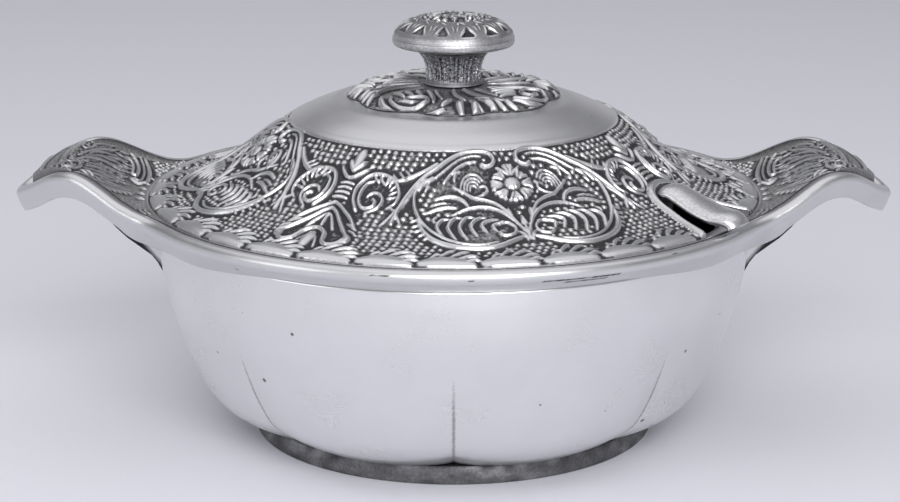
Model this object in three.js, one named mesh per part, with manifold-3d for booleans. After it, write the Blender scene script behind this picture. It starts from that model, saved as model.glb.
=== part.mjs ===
// Covered tureen of cast, polished pewter-grey metal: a six-lobed bowl on a low foot ring,
// a moulded rim with two winged handles, a domed lid with a knob, and a hooked ladle.
// Millimetres, +Z up, foot on z = 0, handles along X, the front of the tureen towards -Y.

import * as THREE from 'three';
import Module from 'manifold-3d';
import { mergeVertices } from 'three/addons/utils/BufferGeometryUtils.js';

const wasm = await Module();
wasm.setup();

// Clearances and cutting allowances
const seatGap = 0.3;       // between castings that seat on each other
const lidSideGap = 0.4;    // lid edge to the rim's rebate
const cutOverrun = 6;      // how far a cutting body runs past what it cuts

// Foot ring
const footOuterRadius = 83.5;
const footRingWidth = 11.5;
const footInnerRadius = footOuterRadius - footRingWidth;
const footHeight = 7.2;
const footTaper = 0.9;
const footEdge = 0.8;

// Bowl
const bowlRimRadius = 121.8;      // outside of the wall at its top
const bowlTopHeight = 89;
const bowlWall = 4;
const bowlFloorHeight = 4.4;      // underside of the floor above the table
const bowlTuckOverhang = 1.5;     // beyond the foot ring, where the lobes turn in above it
const bowlTuckRadius = footOuterRadius + bowlTuckOverhang;
const lobeCount = 6;
const creaseDepth = 4.2;
const creaseFadeDrop = 23;        // from the bowl's top down to where the creases fade out
const creaseStartHeight = 2.5;    // above the foot ring, where they reach full depth
const creaseSharpnessShare = 0.55;
const seamGatherShare = 0.78;     // draws the wall's facets towards the creases
// Outline of the wall: [share of the way out from the tuck, share of the height above the foot]
const bowlWallShares = [
  [0.288, 0.068], [0.5, 0.157], [0.676, 0.304],
  [0.828, 0.498], [0.96, 0.72], [1, 0.885], [1, 1],
];

// Moulded rim
const rimOverhang = 10.7;         // beyond the bowl's wall
const rimRise = 10.5;             // above the bowl's top
const rimRollRadius = 2.9;        // roll at the outer edge
const rimBorderWidth = 6.9;       // from the outer edge in to the lid's rebate
const rimBorderEdge = 0.8;        // bevel round the rebate
// Hollow under the roll: [share of the overhang beyond the wall, share of the height up to the roll]
const rimUnderShares = [[0.27, 0.1], [0.84, 0.66]];
const rimSeatDrop = 2.7;          // ledge that the lid lies on, below the rim's top
const rimLedgeInset = 0.4;        // of the ledge, inwards of the bowl's inside
const rimOuterRadius = bowlRimRadius + rimOverhang;
const rimTopHeight = bowlTopHeight + rimRise;
const rimInnerRadius = bowlRimRadius - bowlWall - rimLedgeInset;

// Winged handles
const wingReach = 49;             // beyond the rim
const wingRootAngle = 30;         // degrees from the handle's middle to where its edge leaves the rim
const wingRunIn = 5;              // degrees along the rim ahead of that
const wingThickness = 3.4;
const wingRise = 14.7;            // crest above the rim's top
// Outline of the wing: [share of the way out from its root, share of its half width there]
const wingSideShares = [[0, 1], [0.07, 0.888], [0.23, 0.788], [0.41, 0.693], [0.59, 0.571],
  [0.77, 0.408], [0.91, 0.215], [0.98, 0.07], [1, 0]];
// Height of the wing's upper face along its reach: [share of the reach, share of the rise]
const wingRiseShares = [[0, 0], [0.12, 0.2], [0.24, 0.44], [0.34, 0.69], [0.44, 0.905],
  [0.54, 1], [0.64, 0.94], [0.73, 0.775], [0.86, 0.435], [1, 0.1]];
const wingSkirtDrop = 10.2;       // foot of the moulded edge, below the wing's upper face
const wingSkirtInset = 3;         // of that foot, from the outside of the roll
const wingSkirtWidth = 2;
const wingHollowShares = [0.5, 0.4];   // hollow of the skirt: share of its height, and of its inset

// Gusset ribs under the handles
const ribThickness = 3.2;
const ribDrop = 28.5;             // from the bowl's top down to the rib's foot
const ribReach = 21;              // along the wing's underside, beyond the rim
// Free edge of the rib: [share of its reach from the wall, share of its height]
const ribEdgeShares = [[0.09, 0.11], [0.21, 0.24], [0.515, 0.4], [0.78, 0.6], [0.91, 0.8]];

// Lid
const lidRadius = rimOuterRadius - rimBorderWidth - lidSideGap;
const lidEdgeThickness = 2.3;
const lidThickness = 3;
const lidRise = 42.3;             // crown under the rosette, above the lid's edge
// Outline of the lid: [share of the lid radius, share of the lid's rise above its edge]
const lidShares = [
  [0.24, 0.981], [0.351, 0.934], [0.447, 0.839], [0.503, 0.768], [0.566, 0.662],
  [0.639, 0.496], [0.719, 0.322], [0.799, 0.18], [0.895, 0.069],
];
const locatingRibGap = 2.8;       // from the rim's ledge to the rib that centres the lid
const locatingRibWall = 2.4;
const locatingRibDepth = 5;       // below the rim's ledge

// Relief on the lid: the same quarter four times, and a border of leaves outside it
const reliefQuarters = 4;
const reliefAngle = -74.3;        // degrees from +X to the middle of the first scrolled panel
const reliefInset = 58;           // inner edge of the relief, from the lid's edge
const reliefHeight = 1.8;
const reliefSink = 0.8;           // foot of each ridge, inside the dome
const scrollWidth = 3.6;
const voluteWidth = 3;
const ridgeEndShare = 0.5;        // ends of a ridge, beside its full size
// Ridges of half a quarter: [share of the quarter from the middle, share of the relief's width].
// The scrolls start from the middle of a panel, volutes and bells from halfway between two panels.
const scrollShares = [[0.052, 0.064], [0.074, 0.021], [0.134, 0.021], [0.197, 0.096], [0.255, 0.2],
  [0.283, 0.36], [0.275, 0.5], [0.245, 0.63], [0.202, 0.766], [0.13, 0.883], [0.069, 0.84], [0.01, 0.734]];
const voluteShares = [[0.064, 0.521], [0.04, 0.362], [0.061, 0.245], [0.128, 0.226], [0.17, 0.362],
  [0.145, 0.479], [0.1, 0.455]];
const bellShares = [[0, 0.479], [0.05, 0.66], [0.083, 0.85], [0.053, 0.93], [0, 0.74]];
const daisyRadius = 8.5;
const daisyPetals = 8;
const daisyPlaceShare = 0.289;    // its middle, share of the relief's width
const daisyHeight = 2.4;
const daisyPetalShare = 0.75;     // top of its petals, and its boss, shares of its radius
const daisyBossShare = 0.4;
const leafCount = 33;
const leafLength = 8;             // inwards from the lid's edge
const leafHeight = 1.5;
const leafShares = [0.3, 0.75];   // rows of a leaf's raised body, shares of its length
const leafLeanShare = 0.4;        // of a leaf's spacing, at its inner row

// Ladle notch in the lid: bell-shaped, open at the lid's edge
const notchAngle = -29.8;         // degrees from +X, towards the front right
const notchLength = 32;           // inwards from the lid's edge
const notchMouthHalfWidth = 22;   // at the lid's edge
// Side of the notch: [share of its length, share of the mouth's half width]
const notchShares = [[0.02, 0.22], [0.07, 0.39], [0.15, 0.49], [0.25, 0.55], [0.4, 0.61],
  [0.57, 0.71], [0.78, 0.85]];
const notchLipWidth = 3.4;
const notchLipHeight = 1.8;

// Rosette under the knob
const rosetteRadius = 44;
const rosetteThickness = 2;
const rosetteLobes = 8;
const rosetteScallop = 2.6;

// Knob
const screwRadius = 2.8;
const screwClearance = 0.35;
const screwHeadRadius = 6.2;
const screwHeadHeight = 3;
const screwHeadFlatShare = 0.7;   // flat end of the domed head
const screwHeadSideShare = 0.6;
const screwEngagement = 6;        // into the cap
const washerRadius = 8.5;
const washerThickness = 1.2;
const stemRadius = 11.3;
const stemTopRadius = 15.2;
const stemHeight = 13.6;
const stemFootHeight = 1;
const stemFootStep = 0.7;
// Flare of the stem: [share of the flare, share of the height]
const stemShares = [[0, 0.45], [0.35, 0.78], [1, 1]];
const capRadius = 25;
const capUndersideRise = 2.6;
const capEdgeBand = 2.4;
const capHeight = 15;
const capBossRadius = 8.6;
const capBossHeight = 1.2;
// Dome of the cap: [share of the cap's radius, share of the rise from its edge to the boss]
const capDomeShares = [[0.86, 0.42], [0.62, 0.78]];
const capRoundShare = 0.25;       // rounding of the edge band and of the boss

// Ladle. It lies askew in the notch: its upright plane is turned and passes beside the axis.
const ladleAngle = -39.4;
const ladleSideOffset = 13;
const ladleBowlRadius = 32;
const ladleBowlDepth = 24;
const ladleBowlWall = 1.8;
const ladleBowlOffset = 46;       // along the ladle's plane
const ladleFloorClearance = 4.5;
const ladleCrown = 2.7;           // the handle's section above its middle line
const ladleBelly = 1.3;           // and below it
const ladleStemHalfWidth = 4.6;
const ladleShoulderHalfWidth = 4.8;
const ladleEndHalfWidth = 8.4;
const ladleEndRoundShares = [0.82, 0.7];   // where the end's rounding starts, and how much it narrows
const ladleShoulderLead = 3.9;    // from the notch's inner end out to where the handle bends over
const ladleHookRise = 11.9;       // middle line at the top of the hook, above the rim
const ladleHookLead = 3.8;        // from the bend to the top of the hook
const ladleTipClearance = 1.2;    // from the rim's outer edge to the turned-down end
const ladleRootShare = 0.35;      // handle's root, below the bowl's lip
// Handle up to the bend: [share of the way out, share of the rise from the lip]
const ladleStemShares = [[0.04, 0.1], [0.45, 0.5], [0.85, 0.85], [1, 0.962]];
const ladleHookShare = 0.45;      // way and fall from the hook's top to the rim's roll, at mid-hook
const ladleTipAngle = 12;         // degrees above level where the end stops, round the roll

// Facet counts
const bodySegments = 48;
const smallSegments = 24;
const wallSteps = 9;
const rimSteps = 3;
const rollSteps = 3;
const wingSteps = 12;
const wingSideSteps = 15;
const domeSteps = 9;
const ridgeExtraSteps = 1;
const turnedSteps = 5;
const ladleBowlSteps = 6;
const ladleSteps = 20;
const ladleSides = 10;
const ribSteps = 12;
const ribWallSteps = 4;
const notchSteps = 16;
const scallopSteps = 6;

const metals = {
  body: { color: 0xc9cbce, roughness: 0.28, metalness: 1 },
  relief: { color: 0x9c9ea2, roughness: 0.38, metalness: 1 },
  rough: { color: 0x6f7072, roughness: 0.6, metalness: 1 },
  steel: { color: 0xa8aaad, roughness: 0.35, metalness: 1 },
};
const materials = Object.fromEntries(
  Object.entries(metals).map(([name, look]) => [name, new THREE.MeshStandardMaterial({ name, ...look })]),
);

const degrees = THREE.MathUtils.degToRad;
const mix = THREE.MathUtils.lerp;
const ease = THREE.MathUtils.smoothstep;
const v2 = (x, y) => new THREE.Vector2(x, y);
const v3 = (x, y, z) => new THREE.Vector3(x, y, z);

// Solids: a closed geometry becomes a manifold with its faces turned out, and back again.
function solid(geometry) {
  const bare = geometry.clone();
  bare.deleteAttribute('normal');
  bare.deleteAttribute('uv');
  const merged = mergeVertices(bare, 1e-4);
  const index = [];
  for (let i = 0; i < merged.index.count; i += 3) {
    const [a, b, c] = [0, 1, 2].map((k) => merged.index.getX(i + k));
    if (a !== b && b !== c && c !== a) index.push(a, b, c);
  }
  const build = (triangles) => new wasm.Manifold(new wasm.Mesh({
    numProp: 3,
    vertProperties: new Float32Array(merged.attributes.position.array),
    triVerts: new Uint32Array(triangles),
  }));
  const made = build(index);
  return made.volume() > 0 ? made : build(index.reverse());
}

function geometryOf(manifold) {
  const mesh = manifold.getMesh();
  const geometry = new THREE.BufferGeometry();
  geometry.setAttribute('position', new THREE.BufferAttribute(mesh.vertProperties, 3));
  geometry.setIndex(new THREE.BufferAttribute(mesh.triVerts, 1));
  geometry.computeVertexNormals();
  return geometry;
}

// A profile of [radius, height] points, closed on itself or on the axis, turned about Z.
function revolved(profile, segments = bodySegments) {
  const points = profile.map(([radius, height]) => v2(radius, height));
  const onAxis = profile[0][0] === 0 && profile.at(-1)[0] === 0;
  if (!onAxis) points.push(points[0].clone());
  return new THREE.LatheGeometry(points, segments).rotateX(Math.PI / 2);
}

// A plan outline raised into a vertical prism.
function prism(points, low, high) {
  const shape = new THREE.Shape(points.map(([x, y]) => v2(x, y)));
  return new THREE.ExtrudeGeometry(shape, { depth: high - low, bevelEnabled: false }).translate(0, 0, low);
}

// Rings of points of equal count, skinned one to the next and closed at both ends.
function lofted(rings) {
  const count = rings[0].length;
  const positions = rings.flat();
  const index = [];
  for (let r = 0; r + 1 < rings.length; r += 1) {
    for (let k = 0; k < count; k += 1) {
      const a = r * count + k;
      const b = r * count + ((k + 1) % count);
      index.push(a, b, a + count, b, b + count, a + count);
    }
  }
  [0, rings.length - 1].forEach((r, end) => {
    const middle = rings[r].reduce((sum, p) => sum.add(p), v3(0, 0, 0)).divideScalar(count);
    positions.push(middle);
    for (let k = 0; k < count; k += 1) {
      const a = r * count + k;
      const b = r * count + ((k + 1) % count);
      index.push(...(end ? [a, b, positions.length - 1] : [b, a, positions.length - 1]));
    }
  });
  const geometry = new THREE.BufferGeometry();
  const numbers = positions.flatMap((p) => p.toArray());
  geometry.setAttribute('position', new THREE.Float32BufferAttribute(numbers, 3));
  geometry.setIndex(index);
  return geometry;
}

function smooth(points, steps) {
  const curve = new THREE.SplineCurve(points.map(([x, y]) => v2(x, y)));
  return curve.getPoints(steps).map((p) => [p.x, p.y]);
}

// The same line moved sideways, to the right of its direction.
function offset(points, distance) {
  return points.map(([x, y], i) => {
    const [x0, y0] = points[Math.max(i - 1, 0)];
    const [x1, y1] = points[Math.min(i + 1, points.length - 1)];
    const length = Math.hypot(x1 - x0, y1 - y0);
    return [x + ((y1 - y0) / length) * distance, y - ((x1 - x0) / length) * distance];
  });
}

// Every other point: enough for the faces inside.
function thinned(points) {
  return points.filter((_, i) => i % 2 === 0);
}

function arc(centre, radius, fromDegrees, toDegrees, steps) {
  return Array.from({ length: steps + 1 }, (_, i) => {
    const angle = degrees(fromDegrees + ((toDegrees - fromDegrees) * i) / steps);
    return [centre[0] + radius * Math.cos(angle), centre[1] + radius * Math.sin(angle)];
  });
}

const body = new THREE.Group();
function add(name, geometry, material) {
  const mesh = new THREE.Mesh(geometry, material);
  mesh.name = name;
  body.add(mesh);
  return mesh;
}

// Bowl: the wall's outline is turned about the axis, then drawn in at six creases.
const bowlFootHeight = footHeight + seatGap;
const wallHeight = bowlTopHeight - bowlFootHeight;
const wallLine = smooth([
  [bowlTuckRadius, bowlFootHeight],
  ...bowlWallShares.map(([out, up]) => [
    mix(bowlTuckRadius, bowlRimRadius, out),
    bowlFootHeight + up * wallHeight,
  ]),
], wallSteps);

function wallRadius(height) {
  const above = Math.max(wallLine.findIndex(([, h]) => h >= height), 1);
  const [[r0, h0], [r1, h1]] = [wallLine[above - 1], wallLine[above]];
  return THREE.MathUtils.mapLinear(height, h0, h1, r0, r1);
}

function creased(geometry) {
  const position = geometry.attributes.position;
  const lobe = (2 * Math.PI) / lobeCount;
  for (let i = 0; i < position.count; i += 1) {
    const [x, y, z] = [position.getX(i), position.getY(i), position.getZ(i)];
    const radius = Math.hypot(x, y);
    const turn = (Math.atan2(y, x) + Math.PI / 2) / lobe;
    const share = turn - Math.floor(turn);
    const gathered = share - (seamGatherShare * Math.sin(2 * Math.PI * share)) / (2 * Math.PI);
    const angle = (Math.floor(turn) + gathered) * lobe - Math.PI / 2;
    const low = ease(z, bowlFootHeight, bowlFootHeight + creaseStartHeight);
    const high = 1 - ease(z, bowlFootHeight, bowlTopHeight - creaseFadeDrop);
    const outer = ease(radius, footInnerRadius / 2, bowlTuckRadius);
    const narrow = 1 - Math.abs(Math.sin(Math.PI * gathered)) ** creaseSharpnessShare;
    const drawn = radius - creaseDepth * low * high * outer * narrow;
    position.setXY(i, drawn * Math.cos(angle), drawn * Math.sin(angle));
  }
  return geometry;
}

function makeBowl() {
  const inner = thinned(offset(wallLine, -bowlWall).filter(([, h]) => h > bowlFloorHeight + bowlWall).reverse());
  const profile = [
    [0, bowlFloorHeight],
    [footInnerRadius - footHeight, bowlFloorHeight],
    [footInnerRadius - bowlWall / 2, bowlFootHeight],
    ...wallLine.slice(0, -1),
    [bowlRimRadius, bowlTopHeight],
    [bowlRimRadius - bowlWall, bowlTopHeight],
    ...inner.slice(1),
    [footInnerRadius - bowlWall, bowlFloorHeight + bowlWall],
    [0, bowlFloorHeight + bowlWall],
  ];
  return creased(revolved(profile));
}
add('bowl', geometryOf(solid(makeBowl())), materials.body);

// Foot ring: rough as cast, flat underneath.
function makeFoot() {
  return revolved([
    [footInnerRadius, 0],
    [footOuterRadius - footEdge, 0],
    [footOuterRadius, footEdge],
    [footOuterRadius - footTaper, footHeight],
    [footInnerRadius, footHeight],
  ]);
}
add('foot_ring', geometryOf(solid(makeFoot())), materials.rough);

// Moulded rim: a ledge for the lid, a roll at the outer edge and a hollow below it.
const rimFootHeight = bowlTopHeight + seatGap;
const rimRollHeight = rimTopHeight - rimRollRadius;
const rimUnderLine = smooth([[0, 0], ...rimUnderShares, [1, 1]].map(([out, up]) => [
  mix(bowlRimRadius, rimOuterRadius, out),
  mix(rimFootHeight, rimRollHeight, up),
]), rimSteps);

function makeRim() {
  const rebate = lidRadius + lidSideGap;
  return revolved([
    [rimInnerRadius, rimFootHeight],
    ...rimUnderLine.slice(0, -1),
    ...arc([rimOuterRadius - rimRollRadius, rimRollHeight], rimRollRadius, 0, 90, rollSteps),
    [rebate + rimBorderEdge, rimTopHeight],
    [rebate, rimTopHeight - rimBorderEdge],
    [rebate, rimTopHeight - rimSeatDrop],
    [rimInnerRadius, rimTopHeight - rimSeatDrop],
  ]);
}
add('rim_border', geometryOf(solid(makeRim())), materials.body);

// Winged handles: a revolved S-shaped flange, trimmed to the wing's outline, with a moulded edge.
const wingTopLine = smooth(wingRiseShares.map(([r, h]) => (
  [rimOuterRadius + r * wingReach, rimTopHeight + h * wingRise])), wingSteps);

const wingUnderLine = offset(wingTopLine, wingThickness);

function wingHeight(radius) {
  const beyond = wingTopLine.findIndex(([r]) => r >= radius);
  const above = beyond < 0 ? wingTopLine.length - 1 : Math.max(beyond, 1);
  const [[r0, h0], [r1, h1]] = [wingTopLine[above - 1], wingTopLine[above]];
  return THREE.MathUtils.mapLinear(radius, r0, r1, h0, h1);
}

// The wing's outline in plan, from the rim's back round the tip to its front.
function wingOutline() {
  const root = arc([0, 0], rimOuterRadius, wingRootAngle + wingRunIn, wingRootAngle, 1);
  const [rootX, rootY] = root[1];
  const side = smooth(wingSideShares.map(([out, wide]) => (
    [mix(rootX, rimOuterRadius + wingReach, out), rootY * wide])), wingSideSteps);
  const half = [root[0], ...side];
  const front = half.slice(0, -1).reverse().map(([x, y]) => [x, -y]);
  return [...half, ...front];
}

// Section of the moulded edge, a roll over a hollow skirt: [out from the outline, up from its top].
function mouldedEdge() {
  const roll = arc([-rimRollRadius, -rimRollRadius], rimRollRadius, 90, -30, rollSteps);
  const [neckOut, neckUp] = roll.at(-1);
  const [hollowHeight, hollowInset] = wingHollowShares;
  return [
    ...roll,
    [mix(neckOut, -wingSkirtInset, hollowInset), mix(neckUp, -wingSkirtDrop, hollowHeight)],
    [-wingSkirtInset, -wingSkirtDrop],
    [-wingSkirtInset - wingSkirtWidth, -wingSkirtDrop],
    [-wingSkirtInset - wingSkirtWidth, -wingThickness],
  ];
}

function makeWing() {
  const low = rimTopHeight - wingSkirtDrop - cutOverrun;
  const high = rimTopHeight + wingRise + cutOverrun;
  const flange = solid(revolved([
    [rimOuterRadius - cutOverrun, rimTopHeight],
    ...wingTopLine,
    ...[...wingUnderLine].reverse(),
    [rimOuterRadius - cutOverrun, rimTopHeight - wingThickness],
  ]));
  const outline = wingOutline();
  const plate = flange.intersect(solid(prism(offset(outline, rimRollRadius), low, high)));
  const inward = offset(outline, 1);
  const rings = outline.map(([x, y], i) => {
    const [outX, outY] = [x - inward[i][0], y - inward[i][1]];
    const top = wingHeight(Math.hypot(x, y));
    return mouldedEdge().map(([out, up]) => v3(x + outX * out, y + outY * out, top + up));
  });
  const clear = rimOuterRadius + seatGap;
  const core = solid(revolved([[0, low - cutOverrun], [clear, low - cutOverrun],
    [clear, high], [0, high]]));
  return geometryOf(plate.add(solid(lofted(rings))).subtract(core));
}
const wing = makeWing();
add('handle_right', wing, materials.relief);
add('handle_left', wing, materials.relief).rotation.z = Math.PI;

// Gusset ribs: thin webs from the bowl's wall to the underside of each wing.
function makeRib() {
  const reach = rimOuterRadius + ribReach;
  const wall = [];
  for (let i = 0; i <= ribWallSteps; i += 1) {
    const height = mix(bowlTopHeight - ribDrop, bowlTopHeight - seatGap, i / ribWallSteps);
    wall.push([wallRadius(height) + seatGap, height]);
  }
  const wingFoot = wingUnderLine[0][1] - seatGap * 2;
  const underRim = offset(rimUnderLine, seatGap).slice(1).filter(([, h]) => h < wingFoot);
  const clear = rimOuterRadius + seatGap;
  const underWing = offset(wingUnderLine, seatGap * 2).filter(([r]) => r > clear && r < reach);
  const [foot, top] = [wall[0], underWing.at(-1)];
  const edge = smooth([
    foot,
    ...ribEdgeShares.map(([r, h]) => [
      mix(foot[0], top[0], r),
      mix(foot[1], top[1], h),
    ]),
    top,
  ], ribSteps).slice(1, -1).reverse();
  const shape = new THREE.Shape([...wall, ...underRim, ...underWing, ...edge].map(([x, z]) => v2(x, z)));
  return new THREE.ExtrudeGeometry(shape, { depth: ribThickness, bevelEnabled: false })
    .rotateX(Math.PI / 2)
    .translate(0, ribThickness / 2, 0);
}
const rib = geometryOf(solid(makeRib()));
add('handle_rib_right', rib, materials.rough);
add('handle_rib_left', rib, materials.rough).rotation.z = Math.PI;

// Lid: a revolved dome with a locating rib, a knob hole and an open notch for the ladle.
const lidSeatHeight = rimTopHeight - rimSeatDrop + seatGap;
const lidEdgeHeight = lidSeatHeight + lidEdgeThickness;
const lidCrownHeight = lidEdgeHeight + lidRise;
const locatingRibRadius = rimInnerRadius - locatingRibGap;
const lidLine = smooth([
  [0, lidCrownHeight],
  ...lidShares.map(([r, h]) => [r * lidRadius, lidEdgeHeight + h * lidRise]),
  [lidRadius, lidEdgeHeight],
], domeSteps);

function lidHeight(radius) {
  const above = Math.max(lidLine.findIndex(([r]) => r >= radius), 1);
  const [[r0, h0], [r1, h1]] = [lidLine[above - 1], lidLine[above]];
  return THREE.MathUtils.mapLinear(radius, r0, r1, h0, h1);
}

// The notch in plan, with its lip when a margin is given.
const notchInnerRadius = lidRadius - notchLength;

function notchOutline(margin) {
  const sides = smooth([
    ...notchShares.map(([along, out]) => [along, -out]).reverse(),
    [0, 0],
    ...notchShares,
  ].map(([along, out]) => [notchInnerRadius + along * notchLength, out * notchMouthHalfWidth]), notchSteps);
  const mouth = [lidRadius, notchMouthHalfWidth];
  const past = [lidRadius + cutOverrun, notchMouthHalfWidth];
  const outline = [[past[0], -past[1]], [mouth[0], -mouth[1]], ...sides, mouth, past];
  return offset(outline, -margin).map(([x, y]) => {
    const turned = v2(x, y).rotateAround(v2(0, 0), degrees(notchAngle));
    return [turned.x, turned.y];
  });
}

// Rows of the border's leaves, from their inner ends to the lid's edge.
const leafFootRadius = lidRadius - leafLength;
const leafRows = leafShares.map((share) => mix(leafFootRadius, lidRadius, share));

// Every other point of those rows is raised, which makes one leaf of two steps round the lid.
function leafed(geometry) {
  const position = geometry.attributes.position;
  const step = Math.PI / leafCount;
  for (let i = 0; i < position.count; i += 1) {
    const [x, y, z] = [position.getX(i), position.getY(i), position.getZ(i)];
    const radius = Math.hypot(x, y);
    const row = leafRows.findIndex((r) => Math.abs(r - radius) < leafLength / domeSteps);
    if (row >= 0 && z > lidSeatHeight) {
      const turn = Math.round((Math.atan2(y, x) + Math.PI / 2) / step);
      const place = (turn + leafCount * 2) % (leafCount * 2);
      const angle = (place + (row ? 0 : leafLeanShare)) * step - Math.PI / 2;
      const [leafX, leafY] = [leafRows[row] * Math.cos(angle), leafRows[row] * Math.sin(angle)];
      position.setXYZ(i, leafX, leafY, z + leafHeight * (place % 2));
    }
  }
  return geometry;
}

// A ridge that follows the dome. Its line starts at an angle and runs to one side of it.
const reliefInnerRadius = lidRadius - reliefInset;

function ridge(shares, width, angle, side) {
  const steps = shares.length + ridgeExtraSteps;
  const line = smooth(shares, steps).map(([turn, out]) => {
    const radius = mix(reliefInnerRadius, leafFootRadius, out);
    const at = degrees(angle + (side * turn * 360) / reliefQuarters);
    return [radius * Math.cos(at), radius * Math.sin(at)];
  });
  const right = offset(line, 1);
  const rings = line.map(([x, y], i) => {
    const [acrossX, acrossY] = [right[i][0] - x, right[i][1] - y];
    const size = i > 0 && i < steps ? 1 : ridgeEndShare;
    const half = (width / 2) * size;
    const crest = lidHeight(Math.hypot(x, y)) + reliefHeight * size;
    const foot = (out) => {
      const [px, py] = [x + acrossX * out, y + acrossY * out];
      return v3(px, py, lidHeight(Math.hypot(px, py)) - reliefSink);
    };
    return [foot(-half), v3(x, y, crest), foot(half)];
  });
  return solid(lofted(rings));
}

// A daisy: alternate points of one turn are petals and the gaps between them.
function daisy(angle) {
  const middle = mix(reliefInnerRadius, leafFootRadius, daisyPlaceShare);
  const [x0, y0] = [middle * Math.cos(degrees(angle)), middle * Math.sin(degrees(angle))];
  const rows = [[1, -reliefSink, -reliefSink], [daisyPetalShare, daisyHeight, 0],
    [daisyBossShare, daisyHeight, daisyHeight]];
  const rings = rows.map(([share, petal, gap]) => Array.from({ length: daisyPetals * 2 }, (_, k) => {
    const at = (Math.PI * k) / daisyPetals;
    const [x, y] = [x0 + share * daisyRadius * Math.cos(at), y0 + share * daisyRadius * Math.sin(at)];
    return v3(x, y, lidHeight(Math.hypot(x, y)) + (k % 2 ? gap : petal));
  }));
  return solid(lofted(rings));
}

function lidRelief() {
  const quarter = 360 / reliefQuarters;
  const made = [];
  for (let k = 0; k < reliefQuarters; k += 1) {
    const panel = reliefAngle + k * quarter;
    const between = panel - quarter / 2;
    const atNotch = Math.abs(between - notchAngle) < quarter / reliefQuarters;
    [1, -1].forEach((side) => {
      made.push(ridge(scrollShares, scrollWidth, panel, side));
      if (!atNotch) {
        made.push(ridge(voluteShares, voluteWidth, between, side));
        made.push(ridge(bellShares, voluteWidth, between, side));
      }
    });
    made.push(daisy(panel));
  }
  return wasm.Manifold.union(made);
}

function makeLid() {
  const low = lidSeatHeight - locatingRibDepth - cutOverrun;
  const high = lidCrownHeight + cutOverrun;
  const underEnd = locatingRibRadius - locatingRibWall;
  const under = [
    [underEnd, lidHeight(underEnd) - lidThickness],
    ...thinned(offset(lidLine, lidThickness).filter(([r]) => r > 0 && r < underEnd - lidThickness).reverse()),
    [0, lidCrownHeight - lidThickness],
  ];
  const bare = solid(leafed(revolved([
    ...lidLine.filter(([r]) => r < leafFootRadius),
    ...[leafFootRadius, ...leafRows].map((r) => [r, lidHeight(r)]),
    [lidRadius, lidEdgeHeight],
    [lidRadius, lidSeatHeight],
    [locatingRibRadius, lidSeatHeight],
    [locatingRibRadius, lidSeatHeight - locatingRibDepth],
    [underEnd, lidSeatHeight - locatingRibDepth],
    ...under,
  ], leafCount * 2)));
  const shell = bare.add(lidRelief());
  const raised = lidLine.map(([r, h]) => [r, h + notchLipHeight]);
  const over = solid(revolved([...raised, [lidRadius, lidSeatHeight], [0, lidSeatHeight]]));
  const lip = over.intersect(solid(prism(notchOutline(notchLipWidth), lidSeatHeight, high)));
  const notch = solid(prism(notchOutline(0), low, high));
  const boreRadius = screwRadius + screwClearance;
  const bore = solid(revolved([[0, low], [boreRadius, low], [boreRadius, high], [0, high]], smallSegments));
  const hollow = solid(revolved([[0, low], [underEnd, low], ...under]));
  return shell.add(lip.subtract(hollow)).subtract(notch).subtract(bore);
}
add('lid_shell', geometryOf(makeLid()), materials.body);

// Rosette: a scalloped plate that follows the dome, held under the knob's stem.
function makeRosette() {
  const bore = screwRadius + screwClearance;
  const within = lidLine.map(([r]) => r).filter((r) => r > bore && r < rosetteRadius - rosetteScallop);
  const radii = [bore, ...within, rosetteRadius];
  const top = radii.map((r) => [r, lidHeight(r) + seatGap + rosetteThickness]);
  const bottom = radii.map((r) => [r, lidHeight(r) + seatGap]).reverse();
  const geometry = revolved([...top, ...bottom], rosetteLobes * scallopSteps);
  const position = geometry.attributes.position;
  for (let i = 0; i < position.count; i += 1) {
    const [x, y] = [position.getX(i), position.getY(i)];
    const radius = Math.hypot(x, y);
    const angle = Math.atan2(y, x) + Math.PI / 2;
    const scallop = 1 - Math.abs(Math.cos((rosetteLobes * angle) / 2));
    const outer = ease(radius, rosetteRadius / 2, rosetteRadius);
    const factor = (radius - rosetteScallop * scallop * outer) / radius;
    const drop = lidHeight(radius * factor) - lidHeight(radius);
    position.setXYZ(i, x * factor, y * factor, position.getZ(i) + drop);
  }
  return geometryOf(solid(geometry));
}
add('knob_rosette', makeRosette(), materials.relief);

// Knob: waisted stem, domed cap, and the screw and washer that hold them from inside the lid.
const stemBase = lidHeight(stemRadius) + rosetteThickness + seatGap * 4;
const capBase = stemBase + stemHeight + seatGap;

function makeStem() {
  const bore = screwRadius + screwClearance;
  const flare = stemTopRadius - stemRadius;
  const side = smooth([
    [stemRadius, stemBase + stemFootHeight],
    ...stemShares.map(([out, up]) => [stemRadius + out * flare, stemBase + up * stemHeight]),
  ], turnedSteps);
  return revolved([
    [bore, stemBase],
    [stemRadius + stemFootStep, stemBase],
    [stemRadius + stemFootStep, stemBase + stemFootHeight / 2],
    ...side,
    [bore, stemBase + stemHeight],
  ], smallSegments);
}
add('knob_stem', geometryOf(solid(makeStem())), materials.relief);

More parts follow.
